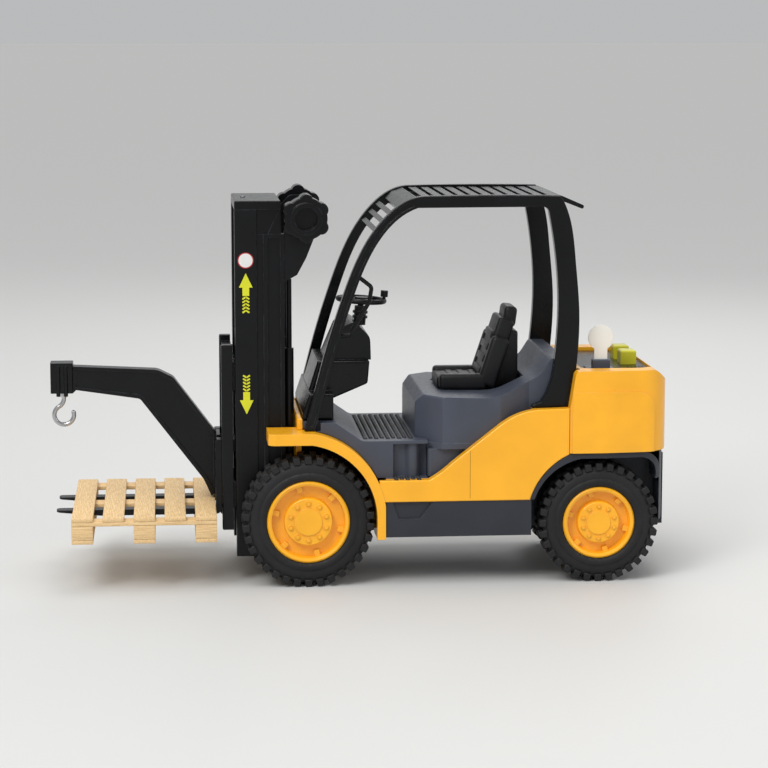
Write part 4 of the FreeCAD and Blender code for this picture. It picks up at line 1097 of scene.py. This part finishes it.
@dataclass
class Studio:
    """Pale floor, soft lamps and the camera."""

    camera_at: Triple = (-0.0986, -1.2476, 0.2789)
    yaw: float = 5.129
    pitch: float = 8.337
    lens: float = 114.4
    floor_half: float = 40.0
    sun_power: float = 1.15
    sun_spread: float = 35.0
    sun_way: Triple = (0.35, 0.45, -1.0)
    sky: float = 0.5
    lamps: tuple[tuple[str, Triple, float, float], ...] = (
        ("key", (-0.70, -0.95, 1.00), 0.45, 7.0),
        ("top", (0.1, 0.1, 1.20), 0.7, 3.5),
        ("fill", (1.0, -0.7, 0.6), 0.5, 2.0),
        ("rim", (0.3, 1.0, 0.8), 0.6, 2.5),
    )

    def floor(self) -> None:
        """Lay the floor."""
        bm = bmesh.new()
        bmesh.ops.create_grid(bm, x_segments=1, y_segments=1, size=self.floor_half)
        mesh = bpy.data.meshes.new("floor")
        bm.to_mesh(mesh)
        bm.free()
        plane = bpy.data.objects.new("floor", mesh)
        bpy.context.scene.collection.objects.link(plane)
        made = bpy.data.materials.new("pale_floor")
        made.use_nodes = True
        shader = made.node_tree.nodes["Principled BSDF"]
        shader.inputs["Base Color"].default_value = linear((206, 206, 204))
        shader.inputs["Roughness"].default_value = 0.6
        mesh.materials.append(made)

    def daylight(self) -> None:
        """Add the broad, even light that keeps the far floor pale."""
        data = bpy.data.lights.new("daylight", "SUN")
        data.energy = self.sun_power
        data.angle = math.radians(self.sun_spread)
        sun = bpy.data.objects.new("daylight", data)
        bpy.context.scene.collection.objects.link(sun)
        sun.rotation_euler = Vector(self.sun_way).to_track_quat("-Z", "Y").to_euler()

    def light(self) -> None:
        """Hang the lamps and set the world's light."""
        self.daylight()
        for name, place, size, power in self.lamps:
            data = bpy.data.lights.new(name, "AREA")
            data.shape = "SQUARE"
            data.size = size
            data.energy = power
            lamp = bpy.data.objects.new(name, data)
            bpy.context.scene.collection.objects.link(lamp)
            lamp.location = place
            aim = Vector((0, 0, 0.08)) - Vector(place)
            lamp.rotation_euler = aim.to_track_quat("-Z", "Y").to_euler()
        world = bpy.data.worlds.new("studio")
        world.use_nodes = True
        world.node_tree.nodes["Background"].inputs[0].default_value = (0.98, 0.99, 1.0, 1.0)
        world.node_tree.nodes["Background"].inputs[1].default_value = self.sky
        bpy.context.scene.world = world
        bpy.context.scene.view_settings.view_transform = "Standard"

    def camera(self) -> None:
        """Set the camera."""
        data = bpy.data.cameras.new("camera")
        data.lens = self.lens
        data.sensor_width = 36.0
        data.clip_start = 0.01
        camera = bpy.data.objects.new("camera", data)
        bpy.context.scene.collection.objects.link(camera)
        yaw, pitch = math.radians(self.yaw), math.radians(self.pitch)
        ahead = Vector((math.sin(yaw) * math.cos(pitch), math.cos(yaw) * math.cos(pitch),
                        -math.sin(pitch)))
        camera.location = self.camera_at
        camera.rotation_euler = ahead.to_track_quat("-Z", "Y").to_euler()
        bpy.context.scene.camera = camera

    def build(self) -> None:
        """Build the studio."""
        self.floor()
        self.light()
        self.camera()


def tyres() -> list[Tyre]:
    """Sizes of the four tyres.

    Returns:
        The tyres, ready to build.
    """
    found = []
    for label, side in (("left", 1), ("right", -1)):
        for wheel in WHEELS:
            found.append(Tyre(wheel.label + "_tyre_" + label, wheel.label + "_wheels", wheel.x,
                              wheel.radius, wheel.rim, wheel.width, side, wheel.lugs))
    return found


def main() -> None:
    """Build every piece in order and report it."""
    logging.basicConfig(level=logging.INFO, format="%(name)s %(message)s")
    CadDress().build()
    for tyre in tyres():
        tyre.build()
    for piece in (WheelNuts(), Seat(), Pallet(), MastDecals(), TreadStuds(), BodySeams(), Studio()):
        piece.build()
        LOG.info("built %s", type(piece).__name__)


if __name__ == "__main__":
    main()
